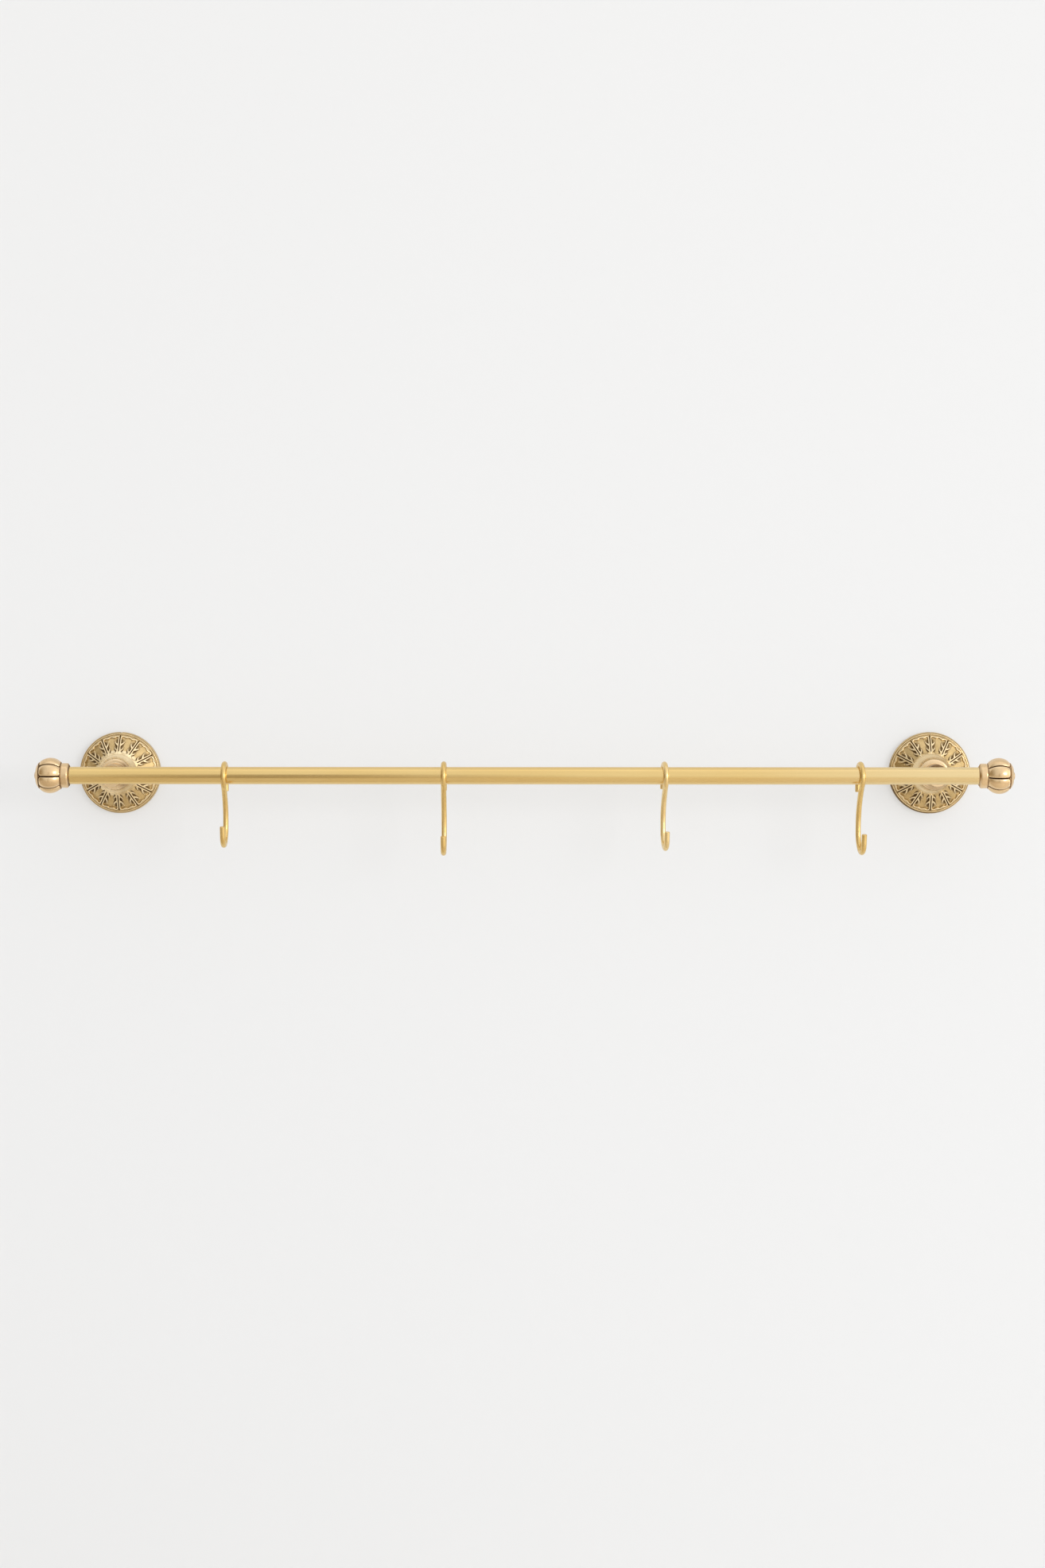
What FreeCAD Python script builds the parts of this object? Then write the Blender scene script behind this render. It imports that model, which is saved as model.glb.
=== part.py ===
# Kitchen utensil rail: a brass tube between two carved wall rosettes, with lobed
# finials on its ends and four bent-wire hooks that slide along it.
# Frame: +X along the rail, the wall is the plane y = 0, the room is at -Y, +Z up.
# The origin lies on the wall, midway between the rosettes, at the rail's height.

import FreeCAD, Part
import math
import os
import Sketcher
from FreeCAD import Placement, Rotation, Vector

doc = FreeCAD.newDocument("UtensilRail")
sheet = doc.addObject("Spreadsheet::Sheet", "Sizes")

# Driving dimensions in millimetres and degrees
SIZES = [
    ("rail_diameter", 12.7, "outside of the rail tube"),
    ("rail_wall", 1.2, "wall of the rail tube"),
    ("rail_standoff", 59.0, "wall to the axis of the rail"),
    ("post_spacing", 600.0, "distance between the rosette centres"),
    ("rail_overhang", 32.5, "rosette centre to the tube's end inside the finial socket"),
    ("rosette_radius", 30.2, "outside of the rosette"),
    ("rim_height", 4.2, "wall to the foot of the rim bead"),
    ("rim_bead_width", 1.8, "bead along the rim"),
    ("rim_bead_height", 0.8, "bead above its foot"),
    ("rim_bead_bevel", 0.5, "sloped flank of the bead"),
    ("rim_wall", 3.0, "wall of the rim round the wall plate"),
    ("gutter_width", 0.75, "dark channel inside the rim bead"),
    ("gutter_depth", 0.4, "channel floor below the foot of the bead"),
    ("petal_count", 12, "petals round the rosette"),
    ("petal_edge_height", 6.0, "wall to the raised outer edge of the petals"),
    ("dome_height", 18.0, "wall to the raised inner end of the petals"),
    ("relief_depth", 0.7, "petal fields below the raised lines"),
    ("petal_gap", 0.8, "channel between two neighbouring petals"),
    ("petal_line", 0.8, "width of the raised line round a petal"),
    ("petal_wave_depth", 0.6, "dip between the three waves of a petal's edge"),
    ("petal_wave_radius", 5.5, "curve of one wave"),
    ("petal_end_radius", 4.5, "round inner end of a petal"),
    ("petal_end_middle", 18.3, "axis to the middle of that round end"),
    ("barb_base", 1.9, "foot of a barb along the raised line"),
    ("inner_barb_root", 16.9, "axis to the foot of the inner barb"),
    ("inner_barb_tip", 20.0, "axis to the tip of the inner barb"),
    ("inner_barb_spread", 3.2, "tip of the inner barb from the channel's middle"),
    ("outer_barb_root", 20.7, "axis to the foot of the outer barb"),
    ("outer_barb_tip", 23.9, "axis to the tip of the outer barb"),
    ("outer_barb_spread", 3.7, "tip of the outer barb from the channel's middle"),
    ("hub_foot_radius", 14.5, "raised foot of the hub, where the petal channels start"),
    ("hub_base_radius", 13.6, "foot of the smooth cone"),
    ("hub_top_radius", 10.3, "top of the smooth cone"),
    ("hub_height", 33.0, "wall to the seat of the post"),
    ("hub_wall", 2.4, "wall of the cone"),
    ("hub_roof", 3.5, "roof of the cone under the post"),
    ("casting_wall", 3.0, "wall of the petal zone, measured square to the wall"),
    ("disc_radius", 11.2, "collar of the post"),
    ("disc_thickness", 3.2, "thickness of the collar"),
    ("disc_bevel", 0.9, "bevel on both edges of the collar"),
    ("neck_radius", 8.0, "neck of the post"),
    ("neck_foot", 0.8, "sloped foot between collar and neck"),
    ("horn_gap", 2.6, "saddle horns short of the rail's axis plane"),
    ("saddle_clearance", 0.05, "between saddle and rail"),
    ("spigot_radius", 3.6, "spigot of the post in the rosette"),
    ("spigot_length", 3.0, "length of the spigot"),
    ("spigot_clearance", 0.1, "round the spigot"),
    ("screw_radius", 2.5, "post screw"),
    ("screw_clearance", 0.25, "round the post screw"),
    ("screw_head_radius", 5.0, "head of the post screw"),
    ("screw_head_height", 3.0, "height of the head"),
    ("screw_slot_width", 1.2, "slot in the head"),
    ("screw_slot_depth", 1.4, "depth of the slot"),
    ("screw_past_axis", 3.0, "post screw beyond the rail's axis"),
    ("thread_clearance", 0.02, "between a thread and its hole"),
    ("slug_length", 22.0, "nut slug inside the rail"),
    ("bore_clearance", 0.05, "between the rail's bore and what sits in it"),
    ("plug_length", 14.0, "end plug inside the rail"),
    ("stud_radius", 3.0, "stud that holds a finial"),
    ("stud_grip", 10.0, "length of the stud in the plug and in the finial"),
    ("stud_end_gap", 0.5, "space past the stud's end"),
    ("plate_radius", 24.6, "wall plate"),
    ("plate_thickness", 4.2, "thickness of the wall plate"),
    ("plate_hole_spacing", 30.0, "between the two wall screw holes"),
    ("plate_hole_radius", 2.25, "wall screw hole"),
    ("plate_sink_radius", 4.4, "countersink of the wall screw hole"),
    ("plate_sink_depth", 2.1, "depth of the countersink"),
    ("plate_groove_depth", 0.8, "groove round the plate's edge"),
    ("plate_groove_half", 1.0, "half height of that groove"),
    ("set_screw_radius", 1.5, "set screw in the rim"),
    ("set_screw_height", 2.5, "wall to the axis of the set screws"),
    ("set_screw_point", 0.3, "flat on the screw's point"),
    ("set_screw_seat_gap", 0.3, "point to the bottom of the groove"),
    ("set_screw_sunk", 0.2, "outer end inside the rim"),
    ("set_screw_clearance", 0.1, "round the set screw"),
    ("set_screw_socket", 0.85, "corner radius of the hexagon socket"),
    ("set_screw_socket_depth", 1.6, "depth of the socket"),
    ("finial_socket_depth", 4.0, "rail end inside the finial"),
    ("finial_socket_clearance", 0.1, "round the rail end"),
    ("lip_radius", 6.9, "small end of the finial's bevel"),
    ("lip_length", 1.8, "length of the bevel"),
    ("collar_radius", 9.2, "collar band of the finial"),
    ("collar_length", 5.0, "length of the collar band"),
    ("collar_groove_width", 0.6, "dark line between collar and ball"),
    ("collar_groove_radius", 8.5, "bottom of that line"),
    ("ball_radius", 13.65, "lobes of the finial at their widest"),
    ("ball_curve", 11.0, "outline of the ball from collar to end"),
    ("ball_offset", 8.3, "end of the collar groove to the middle of the ball"),
    ("lobe_count", 8, "lobes round the ball"),
    ("lobe_line_depth", 1.3, "channel between two lobes at its middle"),
    ("lobe_line_width", 1.1, "steep part of that channel"),
    ("lobe_flank_depth", 0.85, "top of the steep part below the ball"),
    ("lobe_shoulder_width", 4.0, "rounded shoulders, from one lobe to the next"),
    ("lobe_shoulder_depth", 0.38, "shoulder below the ball"),
    ("lobe_crest_width", 11.2, "past the crests of both lobes"),
    ("lobe_collar_angle", 53.0, "channel from the equator towards the collar"),
    ("lobe_end_angle", 71.0, "channel from the equator towards the end"),
    ("end_face_offset", 10.1, "middle of the ball to its end face"),
    ("end_ring_radius", 5.6, "ring on the end face"),
    ("end_ring_width", 1.2, "width of that ring"),
    ("end_ring_height", 0.4, "ring above the end face"),
    ("end_ring_bevel", 0.4, "sloped flanks of the ring"),
    ("button_radius", 3.6, "button on the end"),
    ("button_height", 1.5, "button above the end face"),
    ("button_bevel", 1.2, "bevel of the button"),
    ("left_finial_turn", -2.0, "how the left finial came to rest about the rail"),
    ("right_finial_turn", -6.5, "how the right finial came to rest about the rail"),
    ("wire_diameter", 3.65, "hook wire"),
    ("wire_chamfer", 0.35, "broken edge of the wire's cut ends"),
    ("hook_eye_radius", 9.05, "middle of the wire round the rail"),
    ("hook_rest_gap", 0.3, "hook over the rail's top"),
    ("hook_back_reach", 5.0, "rearmost wire of the stem behind the rail's axis"),
    ("hook_stem_flat", 3.0, "straight of the stem above the bend"),
    ("hook_bend_radius", 16.0, "bend from the stem into the bowl"),
    ("hook_bowl_radius", 7.6, "bowl of the hook"),
    ("hook_bowl_reach", 12.4, "front of the bowl from the rail's axis"),
    ("hook_tip_lean", 8.0, "tip leaning to the front"),
]

# Each hook was bent by hand: place along the rail as a share of the post spacing, turn
# about the vertical, depth of its lowest point below the rail's axis, rise of the tip
# from there, and depth of the tail below the axis
HOOKS = [
    ("hook_1", -0.3607, -3.0, 52.3, 15.9, 11.8),
    ("hook_2", -0.0963, 0.0, 57.9, 14.6, 11.4),
    ("hook_3", 0.1707, 7.0, 54.3, 14.4, 10.1),
    ("hook_4", 0.4067, 7.0, 57.2, 15.5, 12.1),
]
HOOK_SIZES = ("share", "turn", "drop", "tip_rise", "tail_drop")

for hook, *sizes in HOOKS:
    for name, size in zip(HOOK_SIZES, sizes):
        SIZES.append((hook + "_" + name, size, name.replace("_", " ") + " of " + hook))

for row, (alias, size, meaning) in enumerate(SIZES, start=1):
    sheet.set("A%d" % row, meaning)
    sheet.set("B%d" % row, str(size))
    sheet.setAlias("B%d" % row, alias)
doc.recompute()

# Values that several pieces share, worked out from the sheet
RAIL_LENGTH = "(Sizes.post_spacing + 2 * Sizes.rail_overhang)"
RAIL_RADIUS = "(Sizes.rail_diameter / 2)"
BORE_RADIUS = "(Sizes.rail_diameter / 2 - Sizes.rail_wall)"
BEAD_INNER = "(Sizes.rosette_radius - Sizes.rim_bead_width)"
PETAL_EDGE = "(" + BEAD_INNER + " - Sizes.gutter_width)"
ROOF_UNDER = "(Sizes.hub_height - Sizes.hub_roof)"
POST_BORE = "(Sizes.screw_radius + Sizes.screw_clearance)"
SET_TIP = "(Sizes.plate_radius - Sizes.plate_groove_depth + Sizes.set_screw_seat_gap)"
COLLAR_END = "(Sizes.lip_length + Sizes.collar_length)"
BALL_START = "(" + COLLAR_END + " + Sizes.collar_groove_width)"
BALL_MIDDLE = "(" + BALL_START + " + Sizes.ball_offset)"
BALL_SWING = "(Sizes.ball_radius - Sizes.ball_curve)"
WIRE_RADIUS = "(Sizes.wire_diameter / 2)"


def value(expression):
    return float(sheet.evalExpression(str(expression)))


def origin_feature(body, role):
    return next(f for f in body.Origin.OriginFeatures if f.Role == role)


def new_body(label):
    body = doc.addObject("PartDesign::Body", label)
    body.Label = label
    return body


def new_sketch(body, name, plane, lift="0"):
    sketch = body.newObject("Sketcher::SketchObject", body.Label + "_" + name)
    sketch.AttachmentSupport = [(origin_feature(body, plane), "")]
    sketch.MapMode = "FlatFace"
    if lift != "0":
        sketch.setExpression("AttachmentOffset.Base.z", lift)
        sketch.AttachmentOffset = Placement(Vector(0, 0, value(lift)), Rotation())
    return sketch


def constrain(sketch, kind, *where, size=None):
    index = sketch.addConstraint(Sketcher.Constraint(kind, *where))
    if size is not None:
        sketch.setExpression("Constraints[%d]" % index, size)


def pin(sketch, edge, end, x, y):
    # Holds one end of an edge at x, y; a coordinate of 0 lies on the axis itself
    for kind, axis, coordinate in (("DistanceX", -2, x), ("DistanceY", -1, y)):
        if coordinate == "0":
            constrain(sketch, "PointOnObject", edge, end, axis)
        else:
            constrain(sketch, kind, edge, end, value(coordinate), size=coordinate)


def arc_edge(start, end, radius, leftward):
    # Arc from start to end that bows to the left or right of the way it goes
    chord = end - start
    middle = (start + end) / 2
    left = Vector(-chord.y, chord.x, 0) / chord.Length
    depth = math.sqrt(radius ** 2 - chord.Length ** 2 / 4)
    centre = middle - left * depth if leftward else middle + left * depth
    first, last = (end, start) if leftward else (start, end)
    turn_first = math.atan2(first.y - centre.y, first.x - centre.x)
    turn_last = math.atan2(last.y - centre.y, last.x - centre.x)
    circle = Part.Circle(centre, Vector(0, 0, 1), radius)
    return Part.ArcOfCircle(circle, turn_first, turn_last)


def draw_outline(sketch, corners):
    # Closed outline; a corner is x, y and, where an arc follows, its radius and side
    points = [Vector(value(c[0]), value(c[1]), 0) for c in corners]
    ends = []
    for here, corner in enumerate(corners):
        start = points[here]
        end = points[(here + 1) % len(corners)]
        if len(corner) == 2:
            edge = sketch.addGeometry(Part.LineSegment(start, end))
            ends.append((edge, 1, 2))
            continue
        radius, side = corner[2:]
        leftward = side == "left"
        edge = sketch.addGeometry(arc_edge(start, end, value(radius), leftward))
        ends.append((edge, 2, 1) if leftward else (edge, 1, 2))
        constrain(sketch, "Radius", edge, value(radius), size=radius)
    for here, corner in enumerate(corners):
        edge, first, last = ends[here]
        before, before_first, before_last = ends[here - 1]
        constrain(sketch, "Coincident", before, before_last, edge, first)
        pin(sketch, edge, first, corner[0], corner[1])


def draw_circle(sketch, x, y, radius):
    centre = Vector(value(x), value(y), 0)
    edge = sketch.addGeometry(Part.Circle(centre, Vector(0, 0, 1), value(radius)))
    constrain(sketch, "Radius", edge, value(radius), size=radius)
    pin(sketch, edge, 3, x, y)


def add_feature(body, kind, name, profile=None, **sizes):
    feature = body.newObject("PartDesign::" + kind, body.Label + "_" + name)
    if profile is not None:
        feature.Profile = profile
    for size, expression in sizes.items():
        feature.setExpression(size, expression)
    return feature


def turn_profile(body, kind, name, corners):
    # Turned form, or turned cut, about the piece's own Z axis
    sketch = new_sketch(body, name + "_outline", "XZ_Plane")
    draw_outline(sketch, corners)
    feature = add_feature(body, kind, name, sketch)
    feature.ReferenceAxis = (sketch, ["V_Axis"])
    feature.Angle = 360
    doc.recompute()
    return feature


def repeat_round(body, name, feature, count):
    pattern = add_feature(body, "PolarPattern", name, Occurrences=count)
    pattern.Originals = [feature]
    pattern.Axis = (origin_feature(body, "Z_Axis"), [""])
    pattern.Angle = 360
    body.Tip = pattern
    doc.recompute()
    return pattern


def cut_through(body, name, sketch, both_ways=True, length=None, backwards=False):
    # Pocket square to its sketch; it has to take material away
    before = body.Shape.Volume
    if length is None:
        pocket = add_feature(body, "Pocket", name, sketch)
        pocket.Type = "ThroughAll"
    else:
        pocket = add_feature(body, "Pocket", name, sketch, Length=length)
        pocket.Type = "Length"
    pocket.Midplane = both_ways
    pocket.Reversed = backwards
    doc.recompute()
    if not pocket.Shape.Volume < before:
        raise RuntimeError(pocket.Name + " takes no material away")
    return pocket


def place_on_wall(body, sign):
    # Turns the piece's own Z out of the wall and sets it at its rosette
    body.Placement = Placement(Vector(), Rotation(Vector(1, 0, 0), 90))
    body.setExpression("Placement.Base.x", "%d * Sizes.post_spacing / 2" % sign)


def place_on_rail(body, x):
    body.setExpression("Placement.Base.x", x)
    body.setExpression("Placement.Base.y", "-Sizes.rail_standoff")


def make_rail_tube():
    body = new_body("rail_tube")
    ring = new_sketch(body, "ring", "YZ_Plane")
    draw_circle(ring, "0", "0", RAIL_RADIUS)
    draw_circle(ring, "0", "0", BORE_RADIUS)
    tube = add_feature(body, "Pad", "tube", ring, Length=RAIL_LENGTH)
    tube.Midplane = True
    doc.recompute()
    # Clearance holes for the post screws, in the side towards the wall only
    holes = new_sketch(body, "holes", "XZ_Plane")
    for sign in (-1, 1):
        draw_circle(holes, "%d * Sizes.post_spacing / 2" % sign, "0", POST_BORE)
    cut_through(body, "screw_holes", holes, both_ways=False, length=RAIL_RADIUS)
    place_on_rail(body, "0")
    return body


def make_rail_slug(side, sign):
    # Nut slug inside the tube that the post screw pulls against the saddle
    body = new_body(side + "_rail_slug")
    section = new_sketch(body, "section", "YZ_Plane")
    draw_circle(section, "0", "0", BORE_RADIUS + " - Sizes.bore_clearance")
    bar = add_feature(body, "Pad", "bar", section, Length="Sizes.slug_length")
    bar.Midplane = True
    doc.recompute()
    thread = new_sketch(body, "thread", "XZ_Plane")
    draw_circle(thread, "0", "0", "Sizes.screw_radius + Sizes.thread_clearance")
    cut_through(body, "threaded_hole", thread)
    place_on_rail(body, "%d * Sizes.post_spacing / 2" % sign)
    return body


def make_end_plug(side, sign):
    body = new_body(side + "_end_plug")
    section = new_sketch(body, "section", "YZ_Plane")
    draw_circle(section, "0", "0", BORE_RADIUS + " - Sizes.bore_clearance")
    draw_circle(section, "0", "0", "Sizes.stud_radius + Sizes.thread_clearance")
    bar = add_feature(body, "Pad", "bar", section, Length="Sizes.plug_length")
    bar.Midplane = True
    doc.recompute()
    place_on_rail(body, "%d * (%s - Sizes.plug_length) / 2" % (sign, RAIL_LENGTH))
    return body


def make_finial_stud(side, sign):
    body = new_body(side + "_finial_stud")
    section = new_sketch(body, "section", "YZ_Plane")
    draw_circle(section, "0", "0", "Sizes.stud_radius")
    rod = add_feature(body, "Pad", "rod", section, Length="2 * Sizes.stud_grip")
    rod.Midplane = True
    doc.recompute()
    place_on_rail(body, "%d * %s / 2" % (sign, RAIL_LENGTH))
    return body


def make_finial(side, sign):
    # Lobed finial along its own Z, which starts at the bevel and points away from the rail
    body = new_body(side + "_finial")
    end_face = "(" + BALL_MIDDLE + " + Sizes.end_face_offset)"
    ring_inner = "(Sizes.end_ring_radius - Sizes.end_ring_width)"
    ring_top = end_face + " + Sizes.end_ring_height"
    button_end = end_face + " + Sizes.button_height"

    def on_outline(offset):
        return BALL_SWING + " + sqrt(Sizes.ball_curve ^ 2 - " + offset + " ^ 2)"

    turn_profile(body, "Revolution", "turning", [
        ("0", "0"),
        ("Sizes.lip_radius", "0"),
        ("Sizes.collar_radius", "Sizes.lip_length"),
        ("Sizes.collar_radius", COLLAR_END),
        ("Sizes.collar_groove_radius", COLLAR_END),
        ("Sizes.collar_groove_radius", BALL_START),
        (on_outline("Sizes.ball_offset"), BALL_START, "Sizes.ball_curve", "right"),
        (on_outline("Sizes.end_face_offset"), end_face),
        ("Sizes.end_ring_radius", end_face),
        ("Sizes.end_ring_radius - Sizes.end_ring_bevel", ring_top),
        (ring_inner + " + Sizes.end_ring_bevel", ring_top),
        (ring_inner, end_face),
        ("Sizes.button_radius", end_face),
        ("Sizes.button_radius", button_end + " - Sizes.button_bevel"),
        ("Sizes.button_radius - Sizes.button_bevel", button_end),
        ("0", button_end),
    ])
    carve_lobes(body)
    socket = RAIL_RADIUS + " + Sizes.finial_socket_clearance"
    thread = "Sizes.stud_radius + Sizes.thread_clearance"
    thread_end = "Sizes.finial_socket_depth + Sizes.stud_grip + Sizes.stud_end_gap"
    turn_profile(body, "Groove", "socket", [
        ("0", "0"),
        (socket, "0"),
        (socket, "Sizes.finial_socket_depth"),
        (thread, "Sizes.finial_socket_depth"),
        (thread, thread_end),
        ("0", thread_end),
    ])
    turn = Rotation(Vector(1, 0, 0), value("Sizes.%s_finial_turn" % side))
    body.Placement = Placement(Vector(), turn * Rotation(Vector(0, 1, 0), 90 * sign))
    place_on_rail(body, "%d * (%s / 2 - Sizes.finial_socket_depth)" % (sign, RAIL_LENGTH))
    return body


def carve_lobes(body):
    # Channel with rounded shoulders, swung along the ball's outline from collar to end
    def on_ball(across, depth):
        return "sqrt(Sizes.ball_radius ^ 2 - (" + across + ") ^ 2) - " + depth

    flank = "Sizes.lobe_line_width / 2"
    shoulder = "Sizes.lobe_shoulder_width / 2"
    crest = "Sizes.lobe_crest_width / 2"
    clear = "Sizes.ball_radius + Sizes.lobe_line_depth"
    slope = [
        (on_ball(flank, "Sizes.lobe_flank_depth"), flank),
        (on_ball(shoulder, "Sizes.lobe_shoulder_depth"), shoulder),
        (on_ball(crest, "0"), crest),
        (clear, crest),
    ]
    section = new_sketch(body, "lobe_section", "XY_Plane", lift=BALL_MIDDLE)
    draw_outline(
        section,
        [("Sizes.ball_radius - Sizes.lobe_line_depth", "0")]
        + [(x, "-" + y) for x, y in slope]
        + [(x, y) for x, y in reversed(slope)],
    )
    # The swing's axis is square to the ball's own, at the middle of the outline's arc
    x = value(BALL_SWING)
    y = value(crest)
    axis = section.addGeometry(Part.LineSegment(Vector(x, -y, 0), Vector(x, y, 0)), True)
    pin(section, axis, 1, BALL_SWING, "-" + crest)
    pin(section, axis, 2, BALL_SWING, crest)
    before = body.Shape.Volume
    channel = add_feature(body, "Groove", "lobe_channel", section,
                          Angle="Sizes.lobe_end_angle", Angle2="Sizes.lobe_collar_angle")
    channel.ReferenceAxis = (section, ["Axis0"])
    channel.Type = "TwoAngles"
    channel.Reversed = True
    doc.recompute()
    if not channel.Shape.Volume < before:
        raise RuntimeError(channel.Name + " takes no material away")
    repeat_round(body, "lobes", channel, "Sizes.lobe_count")


def make_rosette(side, sign):
    # Cast rosette along its own Z, which points out of the wall
    body = new_body(side + "_rosette")
    bead_top = "Sizes.rim_height + Sizes.rim_bead_height"
    gutter_floor = "Sizes.rim_height - Sizes.gutter_depth"
    slope = "(Sizes.dome_height - Sizes.petal_edge_height) / (" + PETAL_EDGE + " - Sizes.hub_base_radius)"
    foot_height = "(Sizes.dome_height - (Sizes.hub_foot_radius - Sizes.hub_base_radius) * " + slope + ")"
    above = "(Sizes.dome_height + 2 * Sizes.relief_depth)"
    turn_profile(body, "Revolution", "blank", [
        ("0", "0"),
        ("Sizes.rosette_radius", "0"),
        ("Sizes.rosette_radius", "Sizes.rim_height"),
        ("Sizes.rosette_radius - Sizes.rim_bead_bevel", bead_top),
        (BEAD_INNER + " + Sizes.rim_bead_bevel", bead_top),
        (BEAD_INNER, "Sizes.rim_height"),
        (BEAD_INNER, gutter_floor),
        (PETAL_EDGE, gutter_floor),
        (PETAL_EDGE, "Sizes.petal_edge_height - Sizes.relief_depth"),
        ("Sizes.hub_foot_radius", foot_height + " - Sizes.relief_depth"),
        ("Sizes.hub_foot_radius", above),
        ("0", above),
    ])
    carve_petals(body)
    # Everything above the raised slope is trimmed, so the lines and the hub's foot follow it
    trim_top = "(" + above + " + Sizes.relief_depth)"
    turn_profile(body, "Groove", "slope_trim", [
        ("Sizes.hub_base_radius - (" + trim_top + " - Sizes.dome_height) / (" + slope + ")", trim_top),
        (BEAD_INNER, trim_top),
        (BEAD_INNER, "Sizes.petal_edge_height"),
        (PETAL_EDGE, "Sizes.petal_edge_height"),
    ])
    # Smooth hub, rooted in the casting below the raised slope
    root = "(Sizes.dome_height - Sizes.relief_depth)"
    taper = "(Sizes.hub_base_radius - Sizes.hub_top_radius) / (Sizes.hub_height - Sizes.dome_height)"
    turn_profile(body, "Revolution", "hub", [
        ("0", root),
        ("Sizes.hub_base_radius + Sizes.relief_depth * " + taper, root),
        ("Sizes.hub_top_radius", "Sizes.hub_height"),
        ("0", "Sizes.hub_height"),
    ])
    # Hollow back with the seat of the post's spigot in its roof
    rim_inner = "Sizes.rosette_radius - Sizes.rim_wall"
    spigot_hole = "Sizes.spigot_radius + Sizes.spigot_clearance"
    turn_profile(body, "Groove", "hollow", [
        ("0", "0"),
        (rim_inner, "0"),
        (rim_inner, "Sizes.petal_edge_height - Sizes.casting_wall"),
        ("Sizes.hub_base_radius - Sizes.hub_wall", "Sizes.dome_height - Sizes.casting_wall"),
        ("Sizes.hub_top_radius - Sizes.hub_wall", ROOF_UNDER),
        (spigot_hole, ROOF_UNDER),
        (spigot_hole, "Sizes.hub_height"),
        ("0", "Sizes.hub_height"),
    ])
    # Set screw holes through the rim, at the top and the bottom
    holes = new_sketch(body, "set_holes", "XZ_Plane")
    draw_circle(holes, "0", "Sizes.set_screw_height",
                "Sizes.set_screw_radius + Sizes.set_screw_clearance")
    cut_through(body, "set_screw_holes", holes)
    place_on_wall(body, sign)
    return body


def carve_petals(body):
    # Raised line round one petal, with two barbs standing in from each side
    half = "(180 / Sizes.petal_count)"
    side_outer = "(Sizes.petal_gap / 2)"
    side_inner = "(Sizes.petal_gap / 2 + Sizes.petal_line)"

    def corner(along, across, flip):
        # Point given along and across the channel beside the petal
        x = "(%s) * cos(%s) + (%s) * sin(%s)" % (along, half, across, half)
        y = "%d * ((%s) * sin(%s) - (%s) * cos(%s))" % (flip, along, half, across, half)
        return x, y

    def end_start(radius, across):
        # Where the straight side of an outline runs into its round inner end
        middle = "Sizes.petal_end_middle"
        return "%s * cos(%s) - sqrt((%s) ^ 2 - (%s * sin(%s) - %s) ^ 2)" % (
            middle, half, radius, middle, half, across)

    dip = "(" + PETAL_EDGE + " - Sizes.petal_wave_depth)"
    third = "(" + half + " / 3)"
    waves = ("Sizes.petal_wave_radius", "right")
    line_end = "Sizes.petal_end_radius"
    line_root = end_start(line_end, side_outer)
    outside = new_sketch(body, "petal_line", "XY_Plane")
    draw_outline(outside, [
        corner(line_root, side_outer, -1),
        corner(dip, side_outer, -1) + waves,
        (dip + " * cos(" + third + ")", "-" + dip + " * sin(" + third + ")") + waves,
        (dip + " * cos(" + third + ")", dip + " * sin(" + third + ")") + waves,
        corner(dip, side_outer, 1),
        corner(line_root, side_outer, 1) + (line_end, "right"),
    ])
    field_edge = "(" + dip + " - Sizes.petal_line)"
    field_end = "Sizes.petal_end_radius - Sizes.petal_line"
    field_root = end_start(field_end, side_inner)
    barbs = []
    for barb in ("inner", "outer"):
        root = "Sizes.%s_barb_root" % barb
        barbs.append((root, side_inner))
        barbs.append(("Sizes.%s_barb_tip" % barb, "Sizes.%s_barb_spread" % barb))
        barbs.append((root + " + Sizes.barb_base", side_inner))
    field = [corner(field_root, side_inner, -1)]
    field += [corner(along, across, -1) for along, across in barbs]
    field += [corner(field_edge, side_inner, -1) + (field_edge, "right")]
    field += [corner(field_edge, side_inner, 1)]
    field += [corner(along, across, 1) for along, across in reversed(barbs)]
    field += [corner(field_root, side_inner, 1) + (field_end, "right")]
    draw_outline(outside, field)
    petal = add_feature(body, "Pad", "petal", outside,
                        Length="Sizes.dome_height + Sizes.relief_depth")
    doc.recompute()
    repeat_round(body, "petals", petal, "Sizes.petal_count")


def make_post(side, sign):
    # Turned post: spigot, bevelled collar, neck, and a saddle for the rail
    body = new_body(side + "_post")
    spigot_end = "Sizes.hub_height - Sizes.spigot_length"
    disc_top = "(Sizes.hub_height + Sizes.disc_thickness)"
    horn_end = "Sizes.rail_standoff - Sizes.horn_gap"
    turn_profile(body, "Revolution", "turning", [
        (POST_BORE, spigot_end),
        ("Sizes.spigot_radius", spigot_end),
        ("Sizes.spigot_radius", "Sizes.hub_height"),
        ("Sizes.disc_radius - Sizes.disc_bevel", "Sizes.hub_height"),
        ("Sizes.disc_radius", "Sizes.hub_height + Sizes.disc_bevel"),
        ("Sizes.disc_radius", disc_top + " - Sizes.disc_bevel"),
        ("Sizes.disc_radius - Sizes.disc_bevel", disc_top),
        ("Sizes.neck_radius + Sizes.neck_foot", disc_top),
        ("Sizes.neck_radius", disc_top + " + Sizes.neck_foot"),
        ("Sizes.neck_radius", horn_end),
        (POST_BORE, horn_end),
    ])
    saddle = new_sketch(body, "saddle", "YZ_Plane")
    draw_circle(saddle, "0", "Sizes.rail_standoff", RAIL_RADIUS + " + Sizes.saddle_clearance")
    cut_through(body, "rail_saddle", saddle)
    place_on_wall(body, sign)
    return body


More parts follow.
